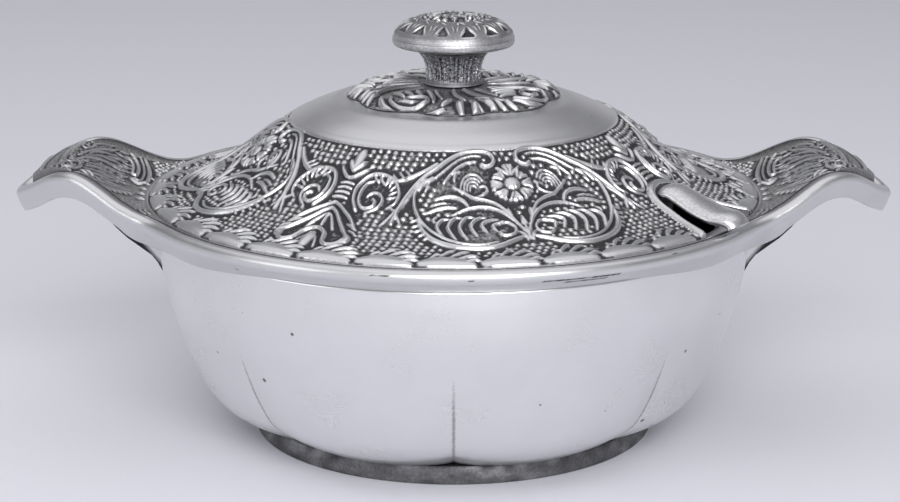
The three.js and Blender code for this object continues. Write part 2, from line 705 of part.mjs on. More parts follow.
function makeCap() {
  const bore = screwRadius + screwClearance;
  const edge = capBase + capUndersideRise;
  const shoulder = edge + capEdgeBand;
  const bossFoot = capBase + capHeight - capBossHeight;
  const dome = smooth([
    [capRadius, shoulder],
    ...capDomeShares.map(([out, up]) => [out * capRadius, mix(shoulder, bossFoot, up)]),
    [capBossRadius, bossFoot],
  ], turnedSteps);
  return revolved([
    [0, capBase + screwEngagement + screwClearance],
    [bore, capBase + screwEngagement + screwClearance],
    [bore, capBase],
    [stemTopRadius, capBase],
    [capRadius - capEdgeBand / 2, edge - capRoundShare * capEdgeBand],
    [capRadius, edge + capRoundShare * capEdgeBand],
    ...dome,
    [capBossRadius - capBossHeight, capBase + capHeight - capRoundShare * capBossHeight],
    [0, capBase + capHeight],
  ], smallSegments);
}
add('knob_cap', geometryOf(solid(makeCap())), materials.relief);

const lidUnderside = lidCrownHeight - lidThickness;
const washerTop = lidUnderside - seatGap * 2;
const headTop = washerTop - washerThickness - seatGap;
const washerBore = screwRadius + screwClearance;
add('knob_washer', geometryOf(solid(revolved([
  [washerBore, washerTop - washerThickness],
  [washerRadius, washerTop - washerThickness],
  [washerRadius, washerTop],
  [washerBore, washerTop],
], smallSegments))), materials.steel);
add('knob_screw', geometryOf(solid(revolved([
  [0, headTop - screwHeadHeight],
  [screwHeadFlatShare * screwHeadRadius, headTop - screwHeadHeight],
  [screwHeadRadius, headTop - screwHeadSideShare * screwHeadHeight],
  [screwHeadRadius, headTop],
  [screwRadius, headTop],
  [screwRadius, capBase + screwEngagement],
  [0, capBase + screwEngagement],
], smallSegments))), materials.steel);

// Ladle: a round bowl low in the tureen and a hooked handle that lies in the lid's notch.
const ladle = new THREE.Group();
ladle.rotation.z = degrees(ladleAngle);
ladle.position.set(0, ladleSideOffset, 0).applyAxisAngle(v3(0, 0, 1), degrees(ladleAngle));
body.add(ladle);
const ladleFloor = bowlFloorHeight + bowlWall + ladleFloorClearance;
const ladleLip = ladleFloor + ladleBowlDepth;

function makeLadleBowl() {
  const depthAt = (r) => ladleBowlDepth * (1 - Math.sqrt(Math.max(0, 1 - (r / ladleBowlRadius) ** 2)));
  const outer = [];
  for (let i = 0; i <= ladleBowlSteps; i += 1) {
    const r = ladleBowlRadius * Math.sin((Math.PI / 2) * (i / ladleBowlSteps));
    outer.push([r, ladleFloor + depthAt(r)]);
  }
  const inner = outer.map(([r, h]) => {
    const share = (ladleBowlRadius - ladleBowlWall) / ladleBowlRadius;
    return [r * share, ladleLip - (ladleLip - h) * ((ladleBowlDepth - ladleBowlWall) / ladleBowlDepth)];
  });
  return revolved([...outer, ...inner.reverse()], smallSegments);
}
const ladleBowl = add('ladle_bowl', geometryOf(solid(makeLadleBowl())), materials.body);
ladleBowl.position.x = ladleBowlOffset;
ladle.add(ladleBowl);

// The handle's middle line lies in one upright plane; its section is a crowned strap.
function makeLadleHandle() {
  const ladleShoulderReach = notchInnerRadius + ladleShoulderLead;
  const ladleHookHeight = rimTopHeight + ladleHookRise;
  const rootX = ladleBowlOffset + ladleBowlRadius + seatGap + ladleCrown;
  const topX = ladleShoulderReach + ladleHookLead;
  const rollX = rimOuterRadius - rimRollRadius;
  const roundRoll = rimRollRadius + seatGap + ladleBelly;
  const overRoll = rimRollHeight + roundRoll;
  const line = new THREE.CatmullRomCurve3([
    v3(rootX, 0, ladleLip - ladleRootShare * ladleBowlDepth),
    ...ladleStemShares.map(([out, up]) => (
      v3(mix(rootX, ladleShoulderReach, out), 0, mix(ladleLip, ladleHookHeight, up)))),
    v3(topX, 0, ladleHookHeight),
    v3(mix(topX, rollX, ladleHookShare), 0, mix(ladleHookHeight, overRoll, ladleHookShare)),
    ...arc([rollX, rimRollHeight], roundRoll, 90, ladleTipAngle, rollSteps)
      .map(([x, z]) => v3(x + (ladleTipClearance * (x - rollX)) / roundRoll, 0, z)),
  ], false, 'centripetal');
  const rings = [];
  for (let i = 0; i <= ladleSteps; i += 1) {
    const point = line.getPointAt(i / ladleSteps);
    const tangent = line.getTangentAt(i / ladleSteps);
    const up = v3(-tangent.z, 0, tangent.x);
    const shoulder = mix(ladleStemHalfWidth, ladleShoulderHalfWidth,
      ease(point.x, rootX, ladleShoulderReach));
    const [roundStart, narrowing] = ladleEndRoundShares;
    const rounding = Math.sqrt(1 - narrowing * ease(i / ladleSteps, roundStart, 1));
    const broad = mix(shoulder, ladleEndHalfWidth, ease(point.x, ladleShoulderReach, rimOuterRadius));
    const halfWidth = broad * rounding;
    rings.push(Array.from({ length: ladleSides }, (_, k) => {
      const angle = (2 * Math.PI * k) / ladleSides;
      const rise = Math.sin(angle) * (angle < Math.PI ? ladleCrown : ladleBelly);
      return point.clone().addScaledVector(up, rise).add(v3(0, Math.cos(angle) * halfWidth, 0));
    }));
  }
  return lofted(rings);
}
const ladleHandle = add('ladle_handle', geometryOf(solid(makeLadleHandle())), materials.body);
ladle.add(ladleHandle);

export default body;
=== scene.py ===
from functools import partial
from math import ceil, cos, floor, hypot, pi, radians, sin, sqrt

import bpy
import numpy as np
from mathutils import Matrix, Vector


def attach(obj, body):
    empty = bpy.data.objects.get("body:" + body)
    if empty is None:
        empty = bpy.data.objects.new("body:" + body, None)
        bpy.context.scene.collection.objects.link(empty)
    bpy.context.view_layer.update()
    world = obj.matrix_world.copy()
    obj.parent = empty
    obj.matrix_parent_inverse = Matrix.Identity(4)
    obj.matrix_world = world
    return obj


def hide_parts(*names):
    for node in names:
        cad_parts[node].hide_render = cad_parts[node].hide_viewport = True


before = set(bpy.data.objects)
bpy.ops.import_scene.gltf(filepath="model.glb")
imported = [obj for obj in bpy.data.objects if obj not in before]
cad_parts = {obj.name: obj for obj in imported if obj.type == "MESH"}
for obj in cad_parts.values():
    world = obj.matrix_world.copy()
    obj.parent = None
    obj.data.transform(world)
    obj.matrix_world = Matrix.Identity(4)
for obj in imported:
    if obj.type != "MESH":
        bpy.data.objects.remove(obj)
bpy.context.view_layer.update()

MM = 0.001
rng = np.random.default_rng(7)

# Sizes shared with the solids, in millimetres and degrees
FOOT_INNER, FOOT_HEIGHT = 72.0, 7.2
BOWL_FOOT, BOWL_TOP, BOWL_RIM, BOWL_TUCK, BOWL_WALL = 7.5, 89.0, 121.8, 85.0, 4.0
RIM_OUTER, RIM_TOP, ROLL = 132.5, 99.5, 2.9
LEDGE_INNER, LEDGE_TOP, REBATE = 117.4, 96.8, 125.6
LID_RADIUS, LID_EDGE, LID_CROWN, LID_THICK = 125.2, 99.4, 141.7, 3.0
NOTCH_ANGLE, NOTCH_INNER, NOTCH_MOUTH = -29.8, 93.2, 22.0
LID_BORE, LID_SEAT, RIB_OUTER, RIB_INNER, RIB_DEPTH, NOTCH_LIP = 3.15, 97.1, 114.6, 112.2, 5.0, 1.35
ROSETTE, STEM_BASE, CAP_BASE = 44.0, 144.56, 158.46
LADLE_ANGLE, LADLE_SIDE = -39.4, 13.0


def spline(points, step=0.25, measure=2):
    """Points along a smooth curve through the given ones, evenly spaced by their first coordinates."""
    p = np.asarray(points, float)
    p = np.vstack([p[:1], p, p[-1:]])
    t = np.linspace(0, len(p) - 3, 24 * (len(p) - 3) + 1)
    i = np.minimum(t.astype(int), len(p) - 4)
    f = (t - i)[:, None]
    a, b, c, d = p[i], p[i + 1], p[i + 2], p[i + 3]
    line = 0.5 * (2 * b + (c - a) * f + (2 * a - 5 * b + 4 * c - d) * f**2 + (3 * b - a - 3 * c + d) * f**3)
    gone = np.r_[0, np.cumsum(np.linalg.norm(np.diff(line[:, :measure], axis=0), axis=1))]
    at = np.linspace(0, gone[-1], max(2, int(gone[-1] / step) + 1))
    return np.column_stack([np.interp(at, gone, line[:, k]) for k in range(line.shape[1])])


def path(*numbers):
    """Points from a plain row of their coordinates, two for each point."""
    return np.reshape(numbers, (-1, 2))


def degrees(low, high, step):
    return np.radians(np.arange(low, high, step))


def unit(vectors):
    return vectors / np.linalg.norm(vectors, axis=-1, keepdims=True)


def polar(radius, angle):
    return np.stack([radius * np.cos(angle), radius * np.sin(angle)], -1)


def ease(x, low, high):
    """A smooth step from 0 at low to 1 at high."""
    t = np.clip((np.asarray(x, float) - low) / (high - low), 0, 1)
    return t * t * (3 - 2 * t)


def blur(h, cells, wrap):
    """A soft blur over the rows and columns of h."""
    kernel = np.exp(-0.5 * (np.arange(-3 * cells, 3 * cells + 1) / cells) ** 2)
    kernel /= kernel.sum()
    reach = len(kernel) // 2
    wide = np.pad(h, ((0, 0), (reach, reach)), mode="wrap" if wrap else "edge")
    across = sum(k * wide[:, i:i + h.shape[1]] for i, k in enumerate(kernel))
    tall = np.pad(across, ((reach, reach), (0, 0)), mode="edge")
    return sum(k * tall[i:i + h.shape[0]] for i, k in enumerate(kernel))


class Relief:
    """Heights in mm over a plan with coordinates (u, v), worked up with strokes and beads."""

    def __init__(self, u, v, metric=None, wrap=False):
        self.u, self.v, self.wrap = u, v, wrap
        self.du, self.dv = u[1] - u[0], v[1] - v[0]
        self.metric = metric or (lambda v: (1.0, 1.0))
        self.h = np.zeros((len(v), len(u)))

    def press(self, u, v, half, height, power=0.6, stretch=1.0, turn=0.0):
        """Raises one rounded bump; where bumps meet, the higher one shows."""
        mu, mv = self.metric(v)
        reach = half * max(1.0, stretch)
        j = np.arange(floor((u - reach / mu - self.u[0]) / self.du),
                      ceil((u + reach / mu - self.u[0]) / self.du) + 1)
        i = np.arange(floor((v - reach / mv - self.v[0]) / self.dv),
                      ceil((v + reach / mv - self.v[0]) / self.dv) + 1)
        i = i[(i >= 0) & (i < len(self.v))]
        if not self.wrap:
            j = j[(j >= 0) & (j < len(self.u))]
        if not len(i) or not len(j):
            return
        x = ((self.u[0] + j * self.du) - u) * mu
        y = ((self.v[i] - v) * mv)[:, None]
        if stretch != 1.0 or turn:
            c, s = cos(turn), sin(turn)
            x, y = (x * c + y * s) / stretch, y * c - x * s
        bump = height * np.clip(1 - (x * x + y * y) / half**2, 0, None) ** power
        block = np.ix_(i, j % len(self.u))
        self.h[block] = np.maximum(self.h[block], bump)

    def stroke(self, points, width, height, taper=(1.0, 1.0), power=0.9, mirror=None):
        """A ridge along a curve. taper gives the width's share at its start and end, full in between."""
        points = np.asarray(points, float)
        mu = self.metric(points[:, 1].mean())[0]
        line = spline(points * [mu, 1], 0.28) / [mu, 1]
        share = np.linspace(0, 1, len(line))
        swell = np.sin(pi * share) ** 0.7
        ends = taper[0] * (1 - share) + taper[1] * share
        size = ends + (1 - ends) * swell if min(taper) < 1 else np.ones(len(line))
        for (u, v), s in zip(line, size):
            self.press(u, v, width * 0.57 * s, height * (0.4 + 0.6 * s), power)
            if mirror is not None:
                self.press(2 * mirror - u, v, width * 0.57 * s, height * (0.4 + 0.6 * s), power)

    def strokes(self, rows, mirror=None, place=lambda points: points):
        """A stroke for each row of width, height, the two shares of taper, and the points' coordinates."""
        for width, height, start, end, *numbers in rows:
            self.stroke(place(path(*numbers)), width, height, (start, end), mirror=mirror)

    def recess(self, cells):
        """How sunken each point is beside its neighbourhood, from 0 to 1."""
        near = blur(self.h, cells, self.wrap) - self.h
        far = blur(self.h, cells * 3, self.wrap) - self.h
        return np.clip(0.5 + 0.75 * near + 0.4 * far, 0, 1)

    def at(self, u, v, what=None):
        """The heights, or another array of the same shape, read at plan points."""
        what = self.h if what is None else what
        x = np.clip((u - self.u[0]) / self.du, 0, len(self.u) - 1.001)
        y = np.clip((v - self.v[0]) / self.dv, 0, len(self.v) - 1.001)
        i, j = y.astype(int), x.astype(int)
        fy, fx = y - i, x - j
        top = what[i, j] * (1 - fx) + what[i, j + 1] * fx
        low = what[i + 1, j] * (1 - fx) + what[i + 1, j + 1] * fx
        return top * (1 - fy) + low * fy


class Shell:
    """A mesh gathered from grids of points in mm, each with a part of the map for baking."""

    def __init__(self):
        self.co, self.quads, self.uv, self.sunk, self.slots = [], [], [], [], []

    def grid(self, points, closed_u=False, closed_v=False, strips=1, recess=0.4, keep=None, flip=False,
             slot=0, area=(0.0, 0.0, 1.0, 1.0)):
        """Adds a grid of points, baked in strips that fill the given area of the map."""
        rows, cols = points.shape[:2]
        high, wide = rows - (not closed_v), cols - (not closed_u)
        i, j = np.meshgrid(np.arange(high), np.arange(wide), indexing="ij")
        i1, j1 = (i + 1) % rows, (j + 1) % cols
        quads = np.stack([i * cols + j, i * cols + j1, i1 * cols + j1, i1 * cols + j], -1).reshape(-1, 4)
        per = ceil(wide / strips)
        corners = []
        for di, dj in ((0, 0), (0, 1), (1, 1), (1, 0)):
            x = (j % per + dj) / per * 0.996 + 0.002
            y = (j // per + 0.004 + (i + di) / high * 0.992) / strips
            corners.append(np.stack([area[0] + x * area[2], area[1] + y * area[3]], -1))
        uv = np.stack(corners, 2).reshape(-1, 4, 2)
        slots = np.broadcast_to(np.asarray(slot), (high, wide)).ravel()
        if keep is not None:
            chosen = keep.ravel()[quads].any(axis=1)
            quads, uv, slots = quads[chosen], uv[chosen], slots[chosen]
        if flip:
            quads, uv = quads[:, ::-1], uv[:, ::-1]
        self.quads.append(quads + sum(len(c) for c in self.co))
        self.co.append(points.reshape(-1, 3))
        self.sunk.append(np.broadcast_to(np.asarray(recess, float), (rows, cols)).ravel())
        self.uv.append(uv)
        self.slots.append(slots)
        return self

    def object(self, name, sharp=40):
        """The finished mesh object, smooth but for edges sharper than the given angle in degrees."""
        co, quads = np.concatenate(self.co), np.concatenate(self.quads)
        used, back = np.unique(quads, return_inverse=True)
        mesh = bpy.data.meshes.new(name)
        mesh.vertices.add(len(used))
        mesh.vertices.foreach_set("co", (co[used] * MM).astype(np.float32).ravel())
        mesh.loops.add(quads.size)
        mesh.loops.foreach_set("vertex_index", back.astype(np.int32).ravel())
        mesh.polygons.add(len(quads))
        mesh.polygons.foreach_set("loop_start", np.arange(0, quads.size, 4, dtype=np.int32))
        mesh.polygons.foreach_set("material_index", np.concatenate(self.slots).astype(np.int32))
        mesh.update(calc_edges=True)
        layer = mesh.uv_layers.new(name="OFBake")
        layer.uv.foreach_set("vector", np.concatenate(self.uv).astype(np.float32).ravel())
        value = mesh.attributes.new("recess", "FLOAT", "POINT")
        value.data.foreach_set("value", np.concatenate(self.sunk)[used].astype(np.float32))
        mesh.shade_smooth()
        mesh.set_sharp_from_angle(angle=radians(sharp))
        made = bpy.data.objects.new(name, mesh)
        bpy.context.scene.collection.objects.link(made)
        return made


def turned(radius, height, angles):
    """Points of a profile turned about the axis: rows along the profile, columns round it."""
    radius, height = np.asarray(radius, float)[:, None], np.asarray(height, float)[:, None]
    return np.stack([radius * np.cos(angles), radius * np.sin(angles), height + 0 * angles], -1)


# Materials

def wire(node, inputs):
    """Gives each input of a node its value, or links it to another node's output."""
    for key, value in inputs.items():
        if isinstance(value, bpy.types.NodeSocket):
            node.id_data.links.new(value, node.inputs[key])
        else:
            node.inputs[key].default_value = value


def add(tree, kind, inputs, **settings):
    """A new node. The settings come first, because they decide which inputs it has."""
    made = tree.nodes.new("ShaderNode" + kind)
    for key, value in settings.items():
        setattr(made, key, value)
    wire(made, inputs)
    return made


def scaled(tree, source, factor, plus, **settings):
    inputs = {0: source, 1: factor, 2: plus}
    return add(tree, "Math", inputs, operation="MULTIPLY_ADD", **settings).outputs[0]


def tinted(tree, share, first, second):
    return add(tree, "Mix", {0: share, 6: first, 7: second}, data_type="RGBA").outputs[2]


def ramp(tree, source, stops):
    """A colour ramp with a grey or a colour at each of its stops."""
    made = add(tree, "ValToRGB", {"Fac": source})
    items = made.color_ramp.elements
    while len(items) < len(stops):
        items.new(0.5)
    for item, (place, value) in zip(items, stops):
        item.position = place
        item.color = (*value, 1) if isinstance(value, tuple) else (value, value, value, 1)
    return made.outputs["Color"]


def new_material(name):
    material = bpy.data.materials.new(name)
    material.use_nodes = True
    return material, material.node_tree, material.node_tree.nodes["Principled BSDF"]


# Line in the plane of a rib, in metres, at which its painted shade starts, and how fast the painted shade
# thickens
SHADE_SLOPE, SHADE_GAIN, SHADE_START = -0.8235, 385.0, -24.9


def web_painted_shade(tree, place):
    """Painted shade, with the dark of unpolished as-cast metal, on a rib under a wing: none beside the bowl,
    thick along the free edge.
    """
    split = add(tree, "SeparateXYZ", {0: place})
    outward = add(tree, "Math", {0: split.outputs["X"]}, operation="ABSOLUTE").outputs[0]
    up = scaled(tree, split.outputs["Z"], SHADE_SLOPE, outward)
    return scaled(tree, up, SHADE_GAIN, SHADE_START, use_clamp=True)


def cast_metal(name, bright, dark, shine, dull, recess=True, scratches=0.5, pits=0.3, waves=0.0,
               grain=1.0, web=False):
    """Polished cast alloy: dark where the recess attribute is high (oxide in the relief's hollows, and
    painted shade in creases, gaps and corners), or as painted shade along a rib's free edge, with cloudy
    tone, fine scratches and small pits.
    """
    material, tree, shader = new_material(name)
    place = add(tree, "TexCoord", {}).outputs["Object"]

    def noise(scale, detail, roughness=0.5, vector=place):
        inputs = {"Vector": vector, "Scale": scale, "Detail": detail, "Roughness": roughness}
        return add(tree, "TexNoise", inputs).outputs["Fac"]

    cloud, fine = noise(38.0, 5.0, 0.6), noise(900.0, 3.0, 0.7)
    stretched = {"Vector": place, "Scale": (260.0, 260.0, 3200.0), "Rotation": (0.35, 0.2, 0.6)}
    lines = noise(1.0, 4.0, 0.75, add(tree, "Mapping", stretched).outputs["Vector"])
    scratch = ramp(tree, lines, [(0.60, 0.0), (0.72, 1.0)])
    spots = add(tree, "TexVoronoi", {"Vector": place, "Scale": 95.0})
    pit_size = scaled(tree, noise(16.0, 2.0), 0.5, -0.255 + 0.08 * (pits - 0.3))
    pit = add(tree, "Math", {0: spots.outputs["Distance"], 1: pit_size}, operation="LESS_THAN").outputs[0]
    if recess:
        sunk = add(tree, "Attribute", {}, attribute_name="recess").outputs["Fac"]
        # Oxide in the hollows, plus painted shade wherever a piece raises the recess attribute for it.
        grime_and_shade = ramp(tree, scaled(tree, fine, 0.3, sunk), [(0.50, 0.0), (0.66, 0.55), (0.92, 1.0)])
    elif web:
        # Painted shade on the rib's face, over its unpolished as-cast metal.
        grime_and_shade = web_painted_shade(tree, place)
    else:
        grime_and_shade = ramp(tree, cloud, [(0.62, 0.0), (0.9, 0.3)])
    tone = tinted(tree, cloud, (*[c * 0.93 for c in bright], 1), (*[min(1.0, c * 1.05) for c in bright], 1))
    soiled_and_shaded = tinted(tree, grime_and_shade, tone, (*dark, 1))
    marked = add(tree, "Math", {0: pit, 1: 0.85}, operation="MULTIPLY").outputs[0]
    colour = tinted(tree, marked, soiled_and_shaded, (*[c * 0.9 for c in dark], 1))
    rough = add(tree, "Mix", {0: grime_and_shade, 2: shine, 3: dull}, data_type="FLOAT").outputs[0]
    worn = scaled(tree, scratch, 0.12 * scratches, scaled(tree, cloud, 0.14, rough))
    height = scaled(tree, fine, 0.8 * grain, scratch)
    bump = add(tree, "Bump", {"Height": height, "Strength": 0.10 * scratches, "Distance": 0.0002})
    deep = {"Height": pit, "Normal": bump.outputs[0], "Strength": 0.6, "Distance": 0.0003}
    last = add(tree, "Bump", deep, invert=True)
    if waves:
        swell = {"Height": noise(26.0, 1.5), "Normal": last.outputs[0], "Strength": waves, "Distance": 0.004}
        last = add(tree, "Bump", swell)
    wire(shader, {"Base Color": colour, "Roughness": worn, "Metallic": 1.0, "Normal": last.outputs[0]})
    return material


polished = cast_metal("polished_alloy", (0.79, 0.79, 0.80), (0.10, 0.10, 0.105), 0.22, 0.45,
                      scratches=0.45, pits=0.36, waves=0.12)
carved = cast_metal("carved_alloy", (0.67, 0.67, 0.68), (0.07, 0.07, 0.075), 0.27, 0.6,
                    scratches=0.8, pits=0.2)
inside = cast_metal("inside_alloy", (0.66, 0.66, 0.67), (0.12, 0.12, 0.125), 0.34, 0.55,
                    recess=False, scratches=0.8, pits=0.35, waves=0.1)
rough_cast = cast_metal("rough_alloy", (0.30, 0.30, 0.31), (0.05, 0.05, 0.055), 0.42, 0.7,
                        scratches=1.6, pits=0.75, waves=0.5, grain=3.0)
web_cast = cast_metal("web_alloy", (0.66, 0.66, 0.68), (0.06, 0.06, 0.065), 0.4, 0.7,
                      recess=False, scratches=1.6, pits=0.5, waves=0.3, grain=2.0, web=True)
weathered = cast_metal("weathered_alloy", (0.62, 0.62, 0.65), (0.05, 0.05, 0.055), 0.3, 0.6,
                       scratches=1.6, pits=0.3, grain=2.0)
steel = cast_metal("fixing_steel", (0.56, 0.56, 0.58), (0.1, 0.1, 0.1), 0.28, 0.5,
                   recess=False, scratches=1.2, pits=0.2)


def finish_piece(piece, body, nodes, slot, *materials):
    """Gives a piece its materials, the body it rides on and the solids it replaces; slot is not used."""
    for material in materials:
        piece.data.materials.append(material)
    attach(piece, body)
    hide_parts(*nodes)


# Bowl: eight lobes, drawn in at creases that fade out up the wall

LOBES = 8
LOBE = 2 * pi / LOBES
CREASE_DEPTH, CREASE_FOOT_DEPTH, CREASE_SHADE = 3.8, 3.2, 0.24
BOWL_FLOOR, BOWL_UNDER = 8.4, 4.4

wall_shares = path(0,0, 0.288,0.068, 0.5,0.157, 0.676,0.304, 0.828,0.498, 0.96,0.72, 1,0.885, 1,1)
wall_line = spline([[BOWL_TUCK + r * (BOWL_RIM - BOWL_TUCK), BOWL_FOOT + h * (BOWL_TOP - BOWL_FOOT)]
                    for r, h in wall_shares], 1.0)


def drawn_in(points):
    """Points of the turned bowl, gathered towards the creases and drawn in at them."""
    x, y, z = np.moveaxis(points, -1, 0)
    radius = np.hypot(x, y)
    turn = (np.arctan2(y, x) + pi / 2) / LOBE
    share = turn - np.floor(turn)
    gathered = share - 0.9 * np.sin(2 * pi * share) / (2 * pi)
    angle = (np.floor(turn) + gathered) * LOBE - pi / 2
    low = ease(z, BOWL_FOOT - 1.5, BOWL_FOOT - 0.2)
    high = 1 - ease(z, BOWL_FOOT, BOWL_TOP - 23)
    outer = ease(radius, FOOT_INNER / 2, BOWL_TUCK)
    narrow = 1 - (np.sin(pi * gathered) ** 2 + 0.0012) ** 0.3
    depth = CREASE_DEPTH + CREASE_FOOT_DEPTH * (1 - ease(z, 8, 22))
    radius = radius - depth * low * high * outer * narrow
    return np.stack([radius * np.cos(angle), radius * np.sin(angle), z], -1)


def make_bowl():
    tangent = np.gradient(wall_line, axis=0)
    normal = unit(np.stack([-tangent[:, 1], tangent[:, 0]], -1))
    inner = (wall_line + normal * BOWL_WALL)[::-1]
    inner = inner[inner[:, 1] > 9.5]
    inner[0] = [BOWL_RIM - BOWL_WALL, BOWL_TOP]
    bottom = spline([inner[-1], [74, 8.6], [66, BOWL_FLOOR], [40, BOWL_FLOOR], [0.1, BOWL_FLOOR]], 3.0)
    under = spline(path(0.1, BOWL_UNDER, 40, BOWL_UNDER, 64.8, BOWL_UNDER, 70, BOWL_FOOT, 80, BOWL_FOOT,
                        BOWL_TUCK, BOWL_FOOT), 2.0)
    edge = path(BOWL_RIM, BOWL_TOP - 0.4, BOWL_RIM - 0.4, BOWL_TOP, BOWL_RIM - BOWL_WALL + 0.4, BOWL_TOP)
    profile = np.vstack([under[:-1], wall_line[:-1], edge, inner, bottom[1:]])
    angles = np.linspace(0, 2 * pi, 576, endpoint=False)
    points = drawn_in(turned(profile[:, 0], profile[:, 1], angles))
    hidden = (np.arange(len(profile) - 1) >= len(under) + len(wall_line)).astype(int)[:, None]
    turn = (np.arctan2(points[..., 1], points[..., 0]) + pi / 2) % LOBE
    seam = np.minimum(turn, LOBE - turn) * BOWL_RIM
    z = points[..., 2]
    # Painted shade: a dark line and a soft shadow along each crease, fading up the wall, and painted shade
    # with a dark floor reflection along the bottom of the lobes.
    shade = CREASE_SHADE * np.exp(-(seam / 0.9) ** 2) + 0.08 * np.exp(-(seam / 4.0) ** 2)
    sunk = 0.2 + shade * (1 - ease(z, 34, 74)) + 0.3 * (1 - ease(z, 8, 15))
    made = Shell().grid(points, closed_u=True, strips=4, recess=sunk, slot=hidden).object("bowl_shell", 50)
    finish_piece(made, "tureen", ["bowl"], "body", polished, inside)


make_bowl()


def make_foot():
    profile = spline(path(FOOT_INNER,FOOT_HEIGHT, FOOT_INNER,4, 72.1,0.5, 72.6,0, 77,0, 82.6,0, 83.3,0.6,
                          83.4,3, 82.9,6.2, 82.4,FOOT_HEIGHT), 0.5)
    profile[:, 1] = np.maximum(profile[:, 1], 0)
    angles = np.linspace(0, 2 * pi, 720, endpoint=False)
    points = turned(profile[:, 0], profile[:, 1], angles)
    wobble = sum(rng.normal() * np.cos(k * angles + rng.uniform(0, 6.3)) / k**0.8 for k in range(3, 60))
    grain = blur(rng.normal(size=points.shape[:2]), 1, True) * 0.22
    inward = 0.16 * (wobble - wobble.max()) / np.ptp(wobble) + np.minimum(grain, 0)
    scale = 1 + inward * ease(points[..., 2], 0, 0.6) / np.hypot(points[..., 0], points[..., 1])
    points[..., :2] *= scale[..., None]
    stained = 0.5 + blur(rng.normal(size=points.shape[:2]), 3, True) * 0.5
    made = Shell().grid(points, closed_u=True, closed_v=True, strips=6, recess=stained)
    finish_piece(made.object("foot_ring_cast"), "tureen", ["foot_ring"], "rough", rough_cast)


make_foot()


# Rim and winged handles: one moulding that runs round the bowl and out along both wings

WING_REACH, WING_RISE, WING_THICK, PLATE_IN = 49, 14.7, 3.7, -4.9
GROOVE, RIM_SHADE, RIM_UNDER, RELIEF_ROWS = 0.45, 0.26, 89.3, 120
RIM_FALL, FRONT_FALL, BORDER, WING_BORDER = 10.4, 4.6, 5.8, 1.2

rise_shares = path(0,0, 0.12,0.19, 0.24,0.44, 0.34,0.69, 0.44,0.905, 0.54,1, 0.64,0.94, 0.73,0.775,
                   0.86,0.435, 1,0.1)
rise_line = spline(rise_shares * [WING_REACH, WING_RISE] + [RIM_OUTER, RIM_TOP], 0.5)


def wing_height(radius):
    return np.interp(radius, rise_line[:, 0], rise_line[:, 1])


wing_side = path(114.7,66.3, 119.4,59.4, 124.3,55.0, 130,52.1, 136,49.2, 142,45.7, 148,41.9,
                 154,37.8, 160,33, 166,27, 171.5,20.3, 176.5,12.5, 180.2,5.4, 181.4,0)


def outline_half():
    """The outline from the front, round the right wing and to the back, with its outward normals."""
    tip = wing_side[:-1][::-1] * [1, -1]
    lead = [[RIM_OUTER * cos(radians(a)), RIM_OUTER * sin(radians(a))] for a in (42, 38, 34)]
    run = spline(np.vstack([lead, wing_side, tip, lead[::-1] * np.array([1, -1])]), 0.42)[::-1]
    front = polar(RIM_OUTER, degrees(-90, -42, 0.5))
    line = np.vstack([front, run, front[::-1] * [1, -1]])[:-1]
    step = unit(np.gradient(line, axis=0))
    return line, np.column_stack([step[:, 1], -step[:, 0]])


SCROLL = path(135,47, 133,40.5, 130.7,32.7, 129.3,22.6, 129,13, 131,9.6, 133.3,9.8, 135.3,12.4)
BOUND = path(133.4,-4.6, 137.4,-8, 141,-11.6, 144.4,-17.4, 147.4,-23.8, 150.4,-28.6, 154.2,-31.2,
             158.5,-29.6, 162.5,-25.5, 166.6,-18.5, 169,-10, 169.6,0, 168,12, 163.5,24, 157,33, 150,38.5)
WING_LINES = (
    (1.4, 1.4, 0.5, 0.6, 136.2,43.4, 134.3,38.5, 132.7,32, 131.7,24.5, 131.7,17.5, 132.9,14, 134.5,16),
    (2.0, 1.8, 0.3, 0.7, 141.5,40, 138.9,38.7, 136.6,35.1, 134.9,30, 134.1,24, 134.4,19, 135.8,19),
    (1.5, 1.4, 0.3, 0.6, 140.9,33.5, 138.6,32.7, 137,29.8, 136.2,25, 136,21.5),
    (1.3, 1.4, 0.5, 0.6, 152.4,25.5, 152.6,19.5, 154.4,15.8, 156.2,17.6, 155.8,21, 154.2,20.8),
    (1.6, 1.6, 0.5, 0.6, 155,-4.6, 153.2,-8, 152.6,-14.4, 153.8,-21, 156.8,-23, 159,-18, 158.4,-13.4,
     156.4,-12.6, 155.6,-15.6),
    (1.3, 1.2, 0.4, 0.3, 154.3,-24.6, 156.4,-28, 160,-27, 163,-21, 164,-13),
)
FLAMES = (
    (143.2,36.3, 145.6,30.5, 148.2,26, 151,19.3, 153.5,12, 155.7,4),
    (144.3,41, 146.2,37, 149,34, 151.8,31.5, 154,27.5),
    (144,37.5, 147,33, 150.1,29, 152.9,24.5),
    (143.6,29, 145.6,24.5, 148.4,21.4, 151.2,15.7, 152.6,10),
    (140.5,27, 142.6,25.8, 145,22.4, 147.2,20),
    (141.3,22.4, 143.8,20.6, 146.4,17.8, 149,15.4, 151.4,11),
    (141.2,17.6, 144.2,14.8, 147.2,12.4, 150.2,8, 152.9,3.2, 155.2,-2.6),
    (139.4,11.6, 142,10.2, 144.8,7.6, 147.6,4.4, 150.2,0.2),
    (140.2,5.4, 143,3.6, 146,1.2, 148.8,-2.4, 150.8,-6.5),
    (139.6,1, 142.4,-1.2, 145.4,-4, 148.2,-7.4, 150,-11.5),
    (141.4,-5, 144.6,-7.6, 147,-11, 149,-15.4),
    (146.6,-17.6, 148.4,-14.6, 150.6,-14.4),
    (148.2,-22.4, 149.8,-19.4, 151.8,-18.8),
    (157.4,24, 158.8,14, 160,4, 160.8,-6, 160.6,-16),
    (155.4,29, 157,20, 158.2,10, 158.8,1),
)


